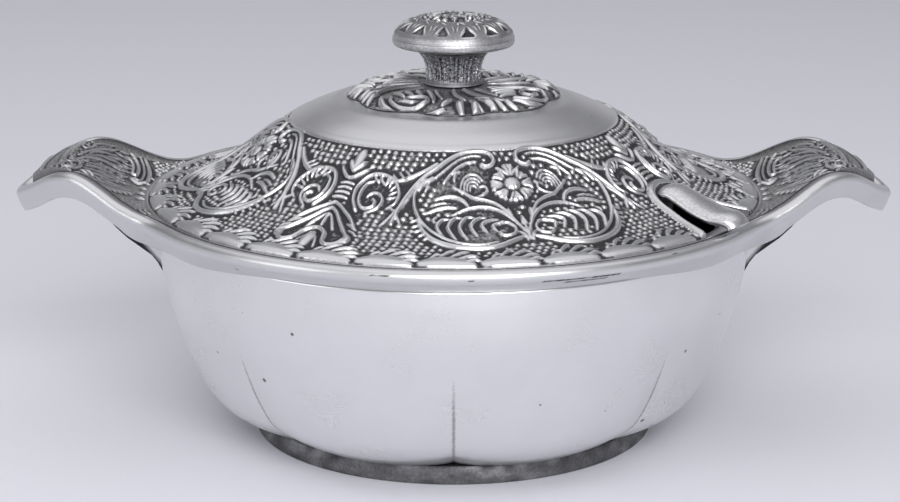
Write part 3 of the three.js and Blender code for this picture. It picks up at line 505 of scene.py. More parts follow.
def wing_relief():
    """Acanthus work on the right wing, in plan; the left wing has the same, mirrored."""
    relief = Relief(np.arange(112, 184, 0.22), np.arange(-72, 72, 0.22))
    line = relief.stroke
    relief.strokes(WING_LINES)
    line(SCROLL, 2.4, 1.7, (0.5, 0.7))
    line(BOUND, 1.3, 1.5, (0.6, 0.5))
    line(BOUND[:8] - [1.4, 2.2], 1.1, 1.2, (0.6, 0.4))
    for numbers in FLAMES:
        points = path(*numbers)
        line(points, 1.9, 1.5, (0.35, 0.2))
        line(points[:-1] + [1.2, 1.5], 1.0, 1.0, (0.4, 0.2))
        line(points[1:] + [-1.1, -1.3], 0.9, 0.9, (0.3, 0.2))
    for k in range(16):
        x, y = 120.5 + 2.05 * k, -34.5 + 0.35 * k + 0.012 * k * k
        line([[x, y - 8], [x + 2.6, y - 3.6], [x + 3.4, y + 1.2]], 1.3, rng.uniform(0.8, 1.3), (0.3, 0.5))
    for k in range(9):
        x, y = 132 + 1.75 * k, -9.5 - 2.6 * k
        line([[x, y], [x + 2.2, y - 0.4], [x + 4.4, y - 2.4]], 1.6, 1.2, (0.3, 0.7))
    for k in range(14):
        x, y = 118.0 + 2.0 * k, -59.4 + 2.1 * k
        line([[x - 2.8, y + 2.2], [x - 0.6, y + 1.6], [x + 1.8, y - 0.2]], 1.7, 1.2, (0.3, 0.5))
    wing_barbs(line)
    for k in range(16):
        a = radians(-8 + 3.9 * k)
        c, s = cos(a), sin(a)
        line([[127.4 * c, 127.4 * s], [129.2 * c - 1.6 * s, 129.2 * s + 1.6 * c],
              [130.6 * c - 4 * s, 130.6 * s + 4 * c]], 1.5, 1.3, (0.5, 0.3))
    scroll = SCROLL[::-1]
    for row, y in enumerate(np.arange(9, 58, 2.25)):
        for x in np.arange(116, 136, 2.4) + 1.2 * (row % 2):
            if hypot(x, y) > 128.3 and x < np.interp(y, scroll[2:, 1], scroll[2:, 0]) - 3.6:
                relief.press(x + rng.normal() * 0.15, y + rng.normal() * 0.15, 1.0, 1.0, 0.7)
    relief.h += rng.normal(size=relief.h.shape) * 0.2 * ease(relief.h, 0.9, 0.3)
    relief.h = blur(relief.h, 1, False)
    return relief


def wing_barbs(line):
    """Short barbs that fill the ground between the flames, turning as they near the tip."""
    for x in np.arange(138.5, 163, 1.9):
        for y in np.arange(-27, 42, 4.6):
            x0, y0 = x + rng.normal() * 0.5, y + rng.normal() * 1.2
            lowest = np.interp(x0, [134, 141, 147, 154, 163], [-2, -9, -21, -28, -22])
            if y0 < lowest or y0 > 46 - 1.1 * (x0 - 138):
                continue
            a = radians(-38 - 46 * float(ease(x0, 139, 160)) + rng.normal() * 9)
            c, s = 3.2 * cos(a), 3.2 * sin(a)
            points = [[x0 - c, y0 - s], [x0 + 0.4 * s, y0 - 0.4 * c], [x0 + c, y0 + s]]
            line(points, 1.15, rng.uniform(0.7, 1.2), (0.3, 0.3))


def rim_rows(line, normal, azimuth, top, winged):
    """The moulding's rows of points from the bowl's inside, over the top and back under the wings."""
    side = np.abs(np.degrees(np.arctan2(line[:, 1], np.abs(line[:, 0]))))
    radius = np.hypot(*line.T)
    near = 1 - ease(radius, RIM_OUTER, RIM_OUTER + 12)
    fall = RIM_FALL + FRONT_FALL * ease(62 - side, 0, 34) * near
    border = BORDER + WING_BORDER * winged

    def edge(out, down):
        """Points that lie out from the outline and down from its top."""
        place = line + normal * np.broadcast_to(out, radius.shape)[:, None]
        return np.column_stack([place, top - down])

    def ring(r, z):
        return np.column_stack([r * np.cos(azimuth), r * np.sin(azimuth), np.broadcast_to(z, azimuth.shape)])

    def either(plain, wing):
        return plain * (1 - winged[:, None]) + wing * winged[:, None]

    ledge = path(LEDGE_INNER, RIM_UNDER, LEDGE_INNER, LEDGE_TOP - 0.4, LEDGE_INNER + 0.4, LEDGE_TOP,
                 121, LEDGE_TOP, REBATE - 0.2, LEDGE_TOP, REBATE, LEDGE_TOP + 0.3, REBATE, RIM_TOP - 0.9,
                 REBATE + 0.25, RIM_TOP - 0.4, REBATE + 0.8, RIM_TOP - 0.15)
    rows = [ring(r, z) for r, z in ledge]
    low = len(rows)
    inner, outer = ring(REBATE + 1.0, RIM_TOP - 0.1), edge(-border, 0.0)
    for share in np.linspace(0, 1, RELIEF_ROWS):
        plan = inner[:, :2] * (1 - share) + outer[:, :2] * share
        rows.append(np.column_stack([plan, wing_height(np.hypot(*plan.T)) - 0.1]))
    for out, share in ((0.25, 0.6), (0.6, 1), (0.95, 0.5)):
        rows.append(edge(-border + out, 0.1 + GROOVE * share))
    for turn in np.arange(128, -42, -9):
        a = radians(turn)
        wide = ROLL * cos(a) * (1.0 if turn < 90 else 0.95)
        rows.append(edge(wide - ROLL, ROLL - ROLL * sin(a)))
    foot_out = -(10.7 - 0.1) * (1 - winged) - 3.0 * winged
    for share in (0.12, 0.26, 0.4, 0.55, 0.7, 0.84, 0.95, 1.0):
        curve = share ** (1.0 + 0.35 * (1 - winged))
        rows.append(edge(-0.75 + (foot_out + 0.75) * (share ** 1.25), 4.9 + (fall - 4.9) * (curve ** 0.85)))
    rows.append(edge(foot_out - 1.6 * winged, fall + 0.05))
    for share in (0.3, 0.65, 1.0):
        plain = ring(BOWL_RIM + 0.3, (top - fall) + (RIM_UNDER - (top - fall)) * share)
        rows.append(either(plain, edge(PLATE_IN, fall + (WING_THICK - fall) * share)))
    start, end = edge(PLATE_IN, WING_THICK), ring(BOWL_RIM + 0.6, 0.0)
    for share in np.linspace(0.1, 1, 12):
        plan = start[:, :2] * (1 - share) + end[:, :2] * share
        z = wing_height(np.hypot(*plan.T)) - WING_THICK
        z = z + (RIM_UNDER + 0.05 - z) * ease(share, 0.55, 1.0)
        rows.append(either(ring(BOWL_RIM + 0.3 - 0.3 * share, RIM_UNDER), np.column_stack([plan, z])))
    return np.stack(rows), low


# Dark scratches on the front of the rim: from and to in degrees, and the row of the moulding
SCRATCHES = ((-76, -62, 18), (-72, -64, 20), (-103, -100, 12), (-52, -50, 9), (-88, -86.5, 15))


def make_rim():
    line, normal = [np.vstack([half, -half]) for half in outline_half()]
    radius = np.hypot(*line.T)
    azimuth = np.arctan2(line[:, 1], line[:, 0])
    winged = ease(radius, RIM_OUTER + 0.6, RIM_OUTER + 9)
    points, low = rim_rows(line, normal, azimuth, wing_height(radius), winged)
    sunk = np.full(points.shape[:2], RIM_SHADE)

    relief = wing_relief()
    high = low + RELIEF_ROWS
    band = points[low:high]
    x, y = np.abs(band[..., 0]), band[..., 1]
    share = np.linspace(0, 1, RELIEF_ROWS)
    fade = ease(share, 0.0, 0.04) * (1 - ease(share, 0.97, 1.0))
    lift = relief.at(x, y) * fade[:, None]
    up = np.cross(np.gradient(band, axis=1), np.gradient(band, axis=0))
    up /= np.linalg.norm(up, axis=-1, keepdims=True) + 1e-9
    up *= np.sign(up[..., 2:3])
    points[low:high] = band + up * (lift[..., None] - 0.5 * fade[:, None, None] * winged[None, :, None])
    plain = RIM_SHADE + 0.25 * ease(np.abs(band[..., 1]) - 0.6 * np.abs(band[..., 0]), 10, -10)
    sunk[low:high] = plain + (relief.at(x, y, relief.recess(3)) - plain) * winged[None, :] * fade[:, None]
    sunk[high:high + 3] = 0.75
    around = np.degrees(azimuth)
    for first, last, row in SCRATCHES:
        marked = (around > first) & (around < last)
        sunk[high + 3 + row, marked] = rng.uniform(0.55, 1.0, marked.sum())
    made = Shell().grid(points, closed_u=True, closed_v=True, strips=6, recess=sunk, flip=True)
    made = made.object("rim_with_wings", 60)
    finish_piece(made, "tureen", ["rim_border", "handle_right", "handle_left"], "relief", carved)


make_rim()

# Lid: punched ground, scrolls, palmettes, daisies and a border of leaves, round the ladle's notch

CARTOUCHE, PALMETTE, PATTERN_SPREAD = -74.3, -119.3, 1.07
LEAVES, LEAF_FIRST, LEAF_STEP = 33, -96.6, 10.909
LIP_WIDTH, LIP_HEIGHT, NOTCH_REACH = 1.7, 2.1, 22

lid_shares = path(0,1, 0.24,0.981, 0.351,0.934, 0.447,0.839, 0.503,0.768, 0.566,0.662, 0.639,0.496,
                  0.719,0.322, 0.799,0.18, 0.895,0.069, 1,0)
lid_line = spline(lid_shares * [LID_RADIUS, LID_CROWN - LID_EDGE] + [0, LID_EDGE], 0.5)


def lid_height(radius):
    return np.interp(radius, lid_line[:, 0], lid_line[:, 1])


def spread(row):
    """Radius on the lid of a row of the pattern, which reaches a little further up the dome than drawn."""
    return LID_RADIUS - (LID_RADIUS - row) * PATTERN_SPREAD


def lid_metric(row):
    """Millimetres on the lid's surface for each degree and for each row of the pattern."""
    radius = spread(row)
    slope = lid_height(radius + 0.5) - lid_height(radius - 0.5)
    return radius * pi / 180, PATTERN_SPREAD * hypot(1, float(slope))


notch_shares = path(0,0, 0.02,0.22, 0.07,0.39, 0.15,0.49, 0.25,0.55, 0.4,0.61, 0.57,0.71, 0.78,0.85, 1,1,
                    1.15,1.08)
notch_line = spline(notch_shares * [LID_RADIUS - NOTCH_INNER, NOTCH_MOUTH] + [NOTCH_INNER, 0], 0.2)
notch_sides = np.vstack([notch_line[::-1] * [1, -1], notch_line[1:]])
notch_cos, notch_sin = cos(radians(NOTCH_ANGLE)), sin(radians(NOTCH_ANGLE))
notch_turn = np.array([[notch_cos, notch_sin], [-notch_sin, notch_cos]])


def notch_distance(points):
    """Distance of plan points from the notch's outline, negative inside, and the nearest outline point."""
    local = points @ notch_turn.T
    gap = np.linalg.norm(local[:, None, :] - notch_sides[None], axis=2)
    half = np.interp(local[:, 0], notch_line[:, 0], notch_line[:, 1])
    within = (local[:, 0] > NOTCH_INNER) & (np.abs(local[:, 1]) < half)
    return np.where(within, -1, 1) * gap.min(axis=1), notch_sides[gap.argmin(axis=1)] @ notch_turn


CARTOUCHE_LINES = (
    (2.3, 2.0, 0.9, 0.5, -81.6,76.8, -80.6,77.5, -78.6,76.8, -77.9,75, -78.8,72.8, -80.6,71.8, -83.5,71.4,
     -86.4,72, -89.2,73.3, -92.1,75.5, -95,78.3, -97.8,81, -100.1,84.5, -101.8,88.5, -103,93, -103.9,100),
    (1.3, 1.5, 0.6, 0.5, -81.4,73.4, -84,73.2, -87,74.1, -90,76.2, -93,79.2, -95.6,82, -97.5,85),
    (1.5, 1.4, 0.5, 0.6, -83,75.3, -86,75.9, -88.8,77.7, -91,80.3, -92.7,83),
    (1.5, 1.7, 0.7, 0.6, -99,84, -99.9,88, -99.6,91.5, -98.6,95, -96.9,99, -94.7,103, -92.2,106.4,
     -89.6,108.9, -87,110.2, -84,110.2, -81,108.6),
    (3.2, 2.1, 0.35, 0.5, -98.2,97.5, -96.5,103, -94.3,107.5, -91.8,110.5, -89,112.4, -86,113.2, -83,112.7,
     -80.2,110.8, -77.8,108.4, -75.6,106.6),
    (2.4, 1.5, 0.4, 0.2, -99.0,86.5, -98.0,83.5, -96.4,82.0, -95.6,80.6),
    (1.2, 1.2, 0.5, 0.4, -97.6,86.5, -96.2,84.2),
    (1.5, 1.7, 0.5, 0.9, -90.1,84.5, -87.8,86.5, -84.9,88.8, -82.1,89.8, -79.6,91.5, -77.6,94.5, -76,99,
     -75,104),
    (1.2, 1.4, 0.8, 0.5, -84.4,88.5, -82.4,87.6, -81.2,85.9, -81.9,84.4, -83.2,84.7),
    (1.4, 1.2, 0.4, 0.4, -89.8,82.5, -89.5,80, -87.8,78.9),
    (2.0, 1.4, 0.3, 0.6, -94.8,89.4, -92,88.3, -89.6,88.4, -87.6,89.8, -86.4,92.3),
    (1.9, 1.3, 0.3, 0.5, -96.6,94.8, -94,93.2, -91.6,92.3, -89.3,92.4),
    (1.1, 1.1, 0.3, 0.5, -96.0,92.0, -93.2,90.8, -90.8,90.6),
    (1.5, 1.7, 0.5, 0.9, -90.5,95.6, -87.5,93.4, -84.5,92.4, -81.6,92.7, -79,94.4, -76.9,97.6, -75.4,101.5,
     -74.6,105),
    (1.4, 1.6, 0.7, 0.6, -79.5,98.5, -77.6,99.6, -76.6,102, -77.2,104.6, -79.2,105.4, -80.2,103.8,
     -79.2,102.6),
    (1.3, 1.1, 0.4, 0.4, -93.5,99.5, -94.6,97.6, -93.6,95.9),
    (1.5, 1.5, 0.5, 0.5, -76.2,103.5, -75.2,106, -74.9,108.5),
)


def cartouche(relief):
    """Two mirrored scrolls with leaves inside them and a daisy between their heads."""
    relief.strokes(CARTOUCHE_LINES, CARTOUCHE)
    both = partial(relief.stroke, mirror=CARTOUCHE)
    for u, v in path(-99.4,98.5, -98.9,101, -98.1,103.3, -97.1,105.4, -95.9,107.3):
        both([[u, v], [u + 1.6, v - 0.6]], 1.3, 1.5)
    for w, r in ((5.4, 5.6), (4.0, 4.2), (2.7, 2.9), (1.4, 1.6)):
        arc = [[-84.8 - w * cos(t) * 0.62, 85.6 - r * sin(t)] for t in np.linspace(-0.4, 2.5, 7)]
        both(arc, 0.85, 1.5, (0.5, 0.7))
    for k in range(6):
        s = k / 5
        top = [-92.6 + 13.5 * s, 97.6 - 1.6 * sin(pi * s) + 1.5 * s]
        tip = [-91.6 + 11 * s, 104.2 + 3.4 * sin(pi * min(1, s + 0.25)) - 1.0 * s]
        mid = [(top[0] + tip[0]) / 2 - 1.5, (top[1] + tip[1]) / 2 - 0.9]
        both([[top[0] + 2.0, top[1] - 0.3], top, mid, tip], 2.0 - 0.1 * k, 1.6, (0.3, 0.25))
    for u, v in ([-77.0, 95.4], [-74.3, 98.6]):
        both([[u, v - 2.4], [u + 0.2, v], [u + 0.7, v + 2.4]], 1.8, 1.6, (0.3, 0.3))
    relief.stroke([[-74.3, 100], [-74.3, 108]], 1.8, 1.6, (0.6, 0.5))
    daisy(relief)


def daisy(relief):
    """Eight petals round a beaded centre, with a fan in place of the top petal."""
    centre = 84.6
    mm, slant = lid_metric(centre)

    def spot(r, a):
        return [CARTOUCHE + r * cos(a) / mm, centre + r * sin(a) / slant]

    def along(a, turn, *reaches):
        return [spot(r, a + turn * r / 7.8) for r in reaches]

    for k in range(8):
        a = pi * (k / 4 - 0.5)
        turns, reach, width = ((-0.42, -0.14, 0.14, 0.42), 9.4, 5.0) if k == 0 else ((-0.27, 0.27), 7.8, 3.9)
        body = along(a, 0, 3.4, (3.4 + reach - 1.3) / 2, reach - 1.3)
        relief.stroke(body, width, 1.5, (0.55, 1.0), power=0.5)
        for turn in turns:
            relief.stroke(along(a, turn, 3.8, (3.8 + reach) / 2, reach), 1.7, 2.2, (0.5, 0.95))
    relief.press(CARTOUCHE, centre, 3.7, 2.7, 0.5)
    for ring, many in ((0, 1), (1.25, 6), (2.4, 11)):
        for k in range(many):
            relief.press(*spot(ring, 2 * pi * k / many), 0.62, 3.2 - 0.1 * ring, 0.8)


PALMETTE_LINES = (
    (2.4, 1.9, 0.9, 0.25, PALMETTE,81, -120.6,79.4, -121.9,77),
    (2.0, 1.9, 0.4, 1.0, -123.8,79.6, -121.9,81.8, -120.3,83.2, PALMETTE,83.6),
    (1.9, 2.0, 0.4, 0.8, -132.4,93.6, -134.2,91.5, -134.7,88, -133.4,84.5, -130.8,82, -127.6,81.2,
     -124.8,82.4, -122.9,86.5, -123.2,91, -125.1,95.3),
    (1.6, 1.8, 0.5, 0.9, -126.8,83.7, -125.1,85, -124.4,88.5, -125,92, -126.8,94.3, -128.8,93.5,
     -129.1,91.6, -128.3,90.5),
    (1.3, 1.5, 0.6, 0.5, -126.4,89.6, -127.6,88, -129.7,88.4, -130.8,91, -129.9,94, -127.5,96.2),
    (1.8, 2.0, 1.0, 0.3, PALMETTE,93.2, -121.2,94.7, -123.2,96.8, -125.3,99.6, -127.4,104),
    (1.9, 1.9, 1.0, 0.6, PALMETTE,95.6, -121.1,97.4, -123,101, -125,105, -126.4,108.6, -126.4,111.8),
    (2.3, 2.1, 0.9, 0.9, -126.4,110.8, -125.9,113.6, -124.3,115.2, -122.7,113.2, -121.8,108.8, -120.8,106.6,
     PALMETTE,105.6),
    (3.0, 1.9, 0.4, 0.5, -126.3,107.5, -127.3,110.6, -126.3,113.4),
    (1.5, 1.6, 0.8, 0.3, -119.9,98.2, -121.3,101.5, -122.6,105.6),
    (1.4, 1.5, 0.6, 0.4, -120.5,110, -121.2,113.5, -121.6,117),
    (1.5, 1.4, 0.3, 0.8, -127.9,104.8, -126.6,103.2, -125.1,101.9),
    (1.3, 1.3, 0.3, 0.8, -128.6,107.9, -127.6,106.2, -126.2,105),
    (1.5, 1.3, 0.3, 0.6, -136.6,99.5, -135,95.6, -133.2,93),
)
PALMETTE_MIDDLE = (
    (4.6, 2.0, 0.2, 0.7, PALMETTE,72.8, PALMETTE,75, PALMETTE,77.5, PALMETTE,79.8),
    (1.5, 1.6, 0.8, 0.4, PALMETTE,97.8, PALMETTE,101, PALMETTE,104.2),
)


def palmette(relief):
    """A bell with a bud above it, between two volutes."""
    relief.strokes(PALMETTE_MIDDLE)
    relief.strokes(PALMETTE_LINES, PALMETTE)
    for v in (85.4, 87.1, 88.9, 90.8):
        relief.stroke([[PALMETTE - 1.9, v + 0.2], [PALMETTE, v - 0.1], [PALMETTE + 1.9, v + 0.2]], 1.5, 1.7,
                      (0.8, 0.8))
    for k in range(7):
        a = radians(168 + k * 21)
        comb = [[-128.8 + 5.3 * cos(a), 88 + 6.1 * sin(a)],
                [-128.8 + 3.1 * cos(a - 0.3), 88 + 3.7 * sin(a - 0.3)]]
        relief.stroke(comb, 1.05, 1.7, (0.95, 0.3), mirror=PALMETTE)
    drop = [[PALMETTE, 108.6], [PALMETTE, 112], [PALMETTE, 117.4]]
    relief.stroke(drop, 5.2, 2.2, (0.45, 0.5), power=0.7)


TAIL_LINES = (
    (2.6, 1.6, 0.6, 0.3, 20.5,76.2, 24,79.2, 27.5,81.6, 31,83.3, 34.5,84.6),
    (1.2, 1.3, 0.7, 0.3, 27.2,88.2, 28.6,92, 30.2,96.5, 32.2,101.5),
    (1.1, 1.2, 0.7, 0.3, 25.4,85, 27,90, 29.1,95.6, 30.4,100.5),
)


def tail_leaf(relief):
    """The leaf that runs from each scroll to the next palmette, and its two thin stems."""
    for side in (-1, 1):
        def place(points):
            return points * [side, 1] + [CARTOUCHE, 0]

        relief.strokes(TAIL_LINES, place=place)
        for k in range(5):
            u, v = 27.4 + k * 1.75, 82.2 + k * 0.75
            relief.stroke(place(path(u - 0.6, v, u + 1.2, v - 2.0, u + 2.2, v - 3.2)), 1.2, 1.4, (0.6, 0.3))


def beads(relief):
    """Staggered punched dots wherever the ground is free."""
    taken = blur(relief.h, 2, True) > 0.1
    v, row = 72.6, 0
    while v < 118.6:
        mm, slant = relief.metric(v)
        share = ease(v, 76, 108)
        pitch = 3.2 - 0.1 * share
        many = round(90 * mm / pitch)
        for k in range(many):
            u = relief.u[0] + 90 * (k + 0.5 * (row % 2)) / many + rng.normal() * 0.16 / mm
            at = v + rng.normal() * 0.16
            j = int((u - relief.u[0]) / relief.du) % len(relief.u)
            i = min(max(int((at - relief.v[0]) / relief.dv), 0), len(relief.v) - 1)
            side, bell = abs(u - CARTOUCHE), abs(u - PALMETTE)
            scroll = side < 16.5 and 76.5 < at < 109.5 or side < 20.5 and 77 < at < 92
            stem = bell < 6.8 and at > 94.5
            volute = hypot((bell - 8.6) / 6.6, (at - 89) / 7.2) < 1
            if not (scroll or stem or volute or taken[i, j]):
                size = (1.06 - 0.1 * share) * rng.uniform(0.78, 1.1)
                relief.press(u, at, size, rng.uniform(0.8, 1.15), 0.7, 1.15, rng.uniform(-0.6, 0.6))
        v += pitch * 0.78 / slant
        row += 1


# Fingers of a border leaf: root and tip from the leaf's own start, and width
FINGERS = ((2.6, 119.2, 4.4, 117, 1.8), (4.2, 118.6, 7.2, 113.6, 2.1), (6.2, 118.8, 9.7, 115.0, 2.3),
           (7.6, 120.6, 11.2, 118.4, 2.3), (9, 122.6, 11.4, 121.6, 2.3))


def border_leaves(relief):
    """Overlapping leaves along the edge, each a smooth body that ends in five fingers."""
    for k in range(LEAVES):
        root = np.array([LEAF_FIRST + LEAF_STEP * k, 0])
        body = root + path(1.2,123.2, 4.2,121.8, 7.4,122.6, 9.6,124)
        relief.stroke(body, 6.6, 1.5, (0.55, 0.6), power=0.35)
        relief.stroke(root + path(2.2,124.6, 6,124.6, 10,124.8), 2.6, 1.3, (0.7, 0.7), power=0.35)
        for u, v, u1, v1, width in FINGERS:
            points = root + path(u, v, (u + u1) / 2, (v + v1) / 2 - 0.7, u1, v1)
            relief.stroke(points, width, rng.uniform(1.5, 1.9), (0.8, 0.25))


def lid_bottom(radius):
    """Height of the lid's underside, with its edge and the rib that centres it in the rim."""
    slope = np.gradient(lid_line[:, 1], lid_line[:, 0])
    nearest = np.clip(np.searchsorted(lid_line[:, 0], radius), 0, len(lid_line) - 1)
    under = lid_height(radius) - LID_THICK * np.hypot(1, slope)[nearest]
    return np.where(radius > RIB_OUTER, LID_SEAT, np.where(radius > RIB_INNER, LID_SEAT - RIB_DEPTH, under))


def lid_underside(shell):
    rib = LID_SEAT - RIB_DEPTH
    flat = path(LID_RADIUS - 0.5, LID_SEAT, RIB_OUTER + 0.3, LID_SEAT, RIB_OUTER, LID_SEAT - 0.3,
                RIB_OUTER, rib + 0.4, RIB_OUTER - 0.4, rib, RIB_INNER + 0.4, rib, RIB_INNER, rib + 0.4)
    radii = np.concatenate([np.linspace(RIB_INNER - 0.01, 90, 30), np.linspace(88, LID_BORE, 44)])
    profile = np.vstack([flat, np.column_stack([radii, lid_bottom(radii)]), [LID_BORE, LID_CROWN - 0.2]])
    points = turned(profile[:, 0], profile[:, 1], degrees(0, 360, 0.5))
    gap, snap = notch_distance(points[..., :2].reshape(-1, 2))
    cut = (gap <= 0).reshape(points.shape[:2])
    points[..., :2] = np.where(cut[..., None], snap.reshape(points[..., :2].shape), points[..., :2])
    shell.grid(points, closed_u=True, keep=~cut, slot=1, area=(0, 0.85, 0.6, 0.14))


def notch_wall(shell):
    plan = notch_sides[np.linalg.norm(notch_sides, axis=1) < LID_RADIUS] @ notch_turn
    radius = np.hypot(*plan.T)
    top, bottom = lid_height(radius) + NOTCH_LIP, lid_bottom(radius)
    rows = [np.column_stack([plan, top * (1 - s) + bottom * s]) for s in np.linspace(0, 1, 9)]
    # The notch's wall is darkened as painted shade inside the slot.
    shell.grid(np.stack(rows), recess=0.62, area=(0.62, 0.85, 0.36, 0.14))


def lid_relief():
    """The band's relief all round the lid, and the rows at its upper edge that are plain."""
    first, step, many = -164.3, 0.2, 450
    period = Relief(np.arange(0, many) * step + first, np.arange(69.0, 125.45, 0.3), lid_metric, wrap=True)
    cartouche(period)
    palmette(period)
    tail_leaf(period)
    beads(period)
    full = Relief(np.arange(0, 4 * many) * step + first, period.v, lid_metric, wrap=True)
    full.h = np.tile(period.h, (1, 4))
    plain = ease(71.9 - full.v, 0, 1.5)[:, None]
    full.h = full.h * (1 - plain) + 0.95 * plain
    full.h *= 1 - 0.9 * ease(full.v, 116.8, 118.4)[:, None]
    border_leaves(full)
    full.h += rng.normal(size=full.h.shape) * 0.24 * (1 - plain) * ease(full.h, 0.9, 0.3)
    full.h = blur(full.h, 1, True)
    return full, plain


def make_lid():
    full, plain = lid_relief()
    angles = np.radians(full.u)
    azimuth, radius = np.meshgrid(angles, spread(full.v))
    plan = polar(radius, azimuth)
    beside = np.abs((full.u - NOTCH_ANGLE + 180) % 360 - 180) < NOTCH_REACH
    near = beside[None, :] & (full.v > 84)[:, None]
    gap, snap = np.full(plan.shape[:2], 99.0), plan.copy()
    gap[near], snap[near] = notch_distance(plan[near])
    lip = LIP_HEIGHT * np.clip(1 - ((gap - 1.3) / LIP_WIDTH) ** 2, 0, None) ** 0.6
    full.h = np.where(gap < 6, np.maximum(full.h * ease(gap, 2.4, 3.6), lip), full.h)
    sunk = np.where(plain > 0.5, 0.3, full.recess(3))
    sunk[(gap > 0) & (gap < 3.2)] = 0.35
    sunk -= 0.18 * ease(full.v, 118.8, 120.4)[:, None]

    inner_r = np.concatenate([np.linspace(LID_BORE, 40, 9), np.linspace(42, 64.2, 18), [spread(68.9)]])
    inner = turned(inner_r, lid_height(inner_r) + 0.12 + 0.95 * ease(inner_r, 44.5, 50), angles)
    slope = np.gradient(lid_height(radius[:, 0]), radius[:, 0])[:, None]
    length = np.hypot(1, slope)
    lift = 0.12 + full.h * (1 - 0.35 * ease(full.v, 123.4, 125.4)[:, None])
    r = np.minimum(radius - lift * slope / length, LID_RADIUS + 0.1)
    z = lid_height(np.minimum(radius, LID_RADIUS)) + lift / length
    cut = gap <= 0
    near_edge = np.minimum(1, (LID_RADIUS + 0.1) / np.linalg.norm(snap, axis=-1))
    x = np.where(cut, snap[..., 0] * near_edge, r * np.cos(azimuth))
    y = np.where(cut, snap[..., 1] * near_edge, r * np.sin(azimuth))
    z = np.where(cut, lid_height(np.hypot(x, y)) + NOTCH_LIP, z)
    band = np.stack([x, y, z], -1)
    ring = band[-1]
    out = unit(ring[:, :2])
    skirt = [np.column_stack([out * (LID_RADIUS + push), np.minimum(ring[:, 2] - 0.2, low)])
             for push, low in ((0.12, 98.7), (0.15, 98.0), (0.05, 97.4), (-0.5, 97.1))]
    points = np.concatenate([inner, band, np.stack(skirt)])
    gone = np.concatenate([np.zeros(inner.shape[:2], bool), cut, np.tile(cut[-1], (len(skirt), 1))])
    sunk = np.concatenate([np.full(inner.shape[:2], 0.3), sunk, np.full((len(skirt), len(angles)), 0.5)])
    shell = Shell().grid(points, closed_u=True, strips=4, recess=sunk, keep=~gone, area=(0, 0, 1, 0.84))
    lid_underside(shell)
    notch_wall(shell)
    finish_piece(shell.object("lid_relief", 75), "lid", ["lid_shell"], "relief", carved, inside)


make_lid()


# Rosette of leaves and scrolls under the knob, the same quarter four times

ROSETTE_LINES = (
    (3.8, 2.3, 0.35, 0.4, -29,-24, -28.4,-31, -24.5,-37.4, -17.5,-41.6, -9.5,-42.8, -4,-41),
    (2.2, 1.9, 0.5, 0.6, -25,-24, -25.2,-30, -21.8,-35.4, -16,-37.6, -11,-35, -10.6,-30, -13.5,-27.4,
     -18,-27.6, -19.6,-30.6, -17.6,-32.6),
    (3.4, 2.3, 0.4, 0.5, 3,-33, 2.4,-38.5, 3.4,-43.6),
    (3.6, 2.4, 0.4, 0.7, 8,-36, 8.8,-40, 9.4,-44.4),
    (3.4, 2.3, 0.4, 0.5, 12.4,-32.5, 15.6,-36.6, 17,-41.5),
    (2.6, 2.1, 0.3, 0.5, -1,-32, -2.6,-35.6, -4.6,-38.4),
    (2.6, 1.8, 0.7, 0.4, 4,-14, 7,-21, 11,-26.5, 16,-30, 21,-32),
    (2.2, 1.6, 0.7, 0.4, 0,-14, 0.4,-20, 1.6,-26, 4.6,-31.5),
    (2.0, 1.5, 0.7, 0.4, 9,-12.5, 13,-18, 17.5,-22.5),
    (1.8, 1.4, 0.6, 0.4, -7,-14, -6.4,-22, -4.6,-29),
    (1.5, 1.4, 0.4, 0.4, -27,-8.5, -31,-15.5, -36,-21),
    (1.6, 1.6, 0.4, 0.5, -22,-31, -17,-33.6, -14.4,-32),
    (1.6, 1.5, 0.4, 0.4, -31,-30, -27.4,-36.4, -21,-40.6),
    (2.2, 1.7, 0.4, 0.4, -24,-18.5, -21.5,-21.5, -19.6,-25),
    (2.2, 1.7, 0.4, 0.4, -19.5,-16.5, -17.4,-20.5, -16,-24.8),
    (2.2, 1.7, 0.4, 0.4, -15,-15, -13.5,-20, -12.6,-24.6),
    (2.2, 1.7, 0.4, 0.4, -10.5,-15, -9,-22, -8.2,-28, -8,-34),
    (2.5, 2.0, 0.3, 0.6, -33,-6.5, -37,-8.5, -41,-12),
    (2.5, 2.0, 0.3, 0.6, -30,-10, -34.5,-13, -39,-17.5),
    (2.5, 2.0, 0.3, 0.6, -28.6,-14, -33.5,-17, -38.2,-22.6),
    (2.5, 2.0, 0.3, 0.6, -30,-19.4, -33,-22, -35.6,-27),
)


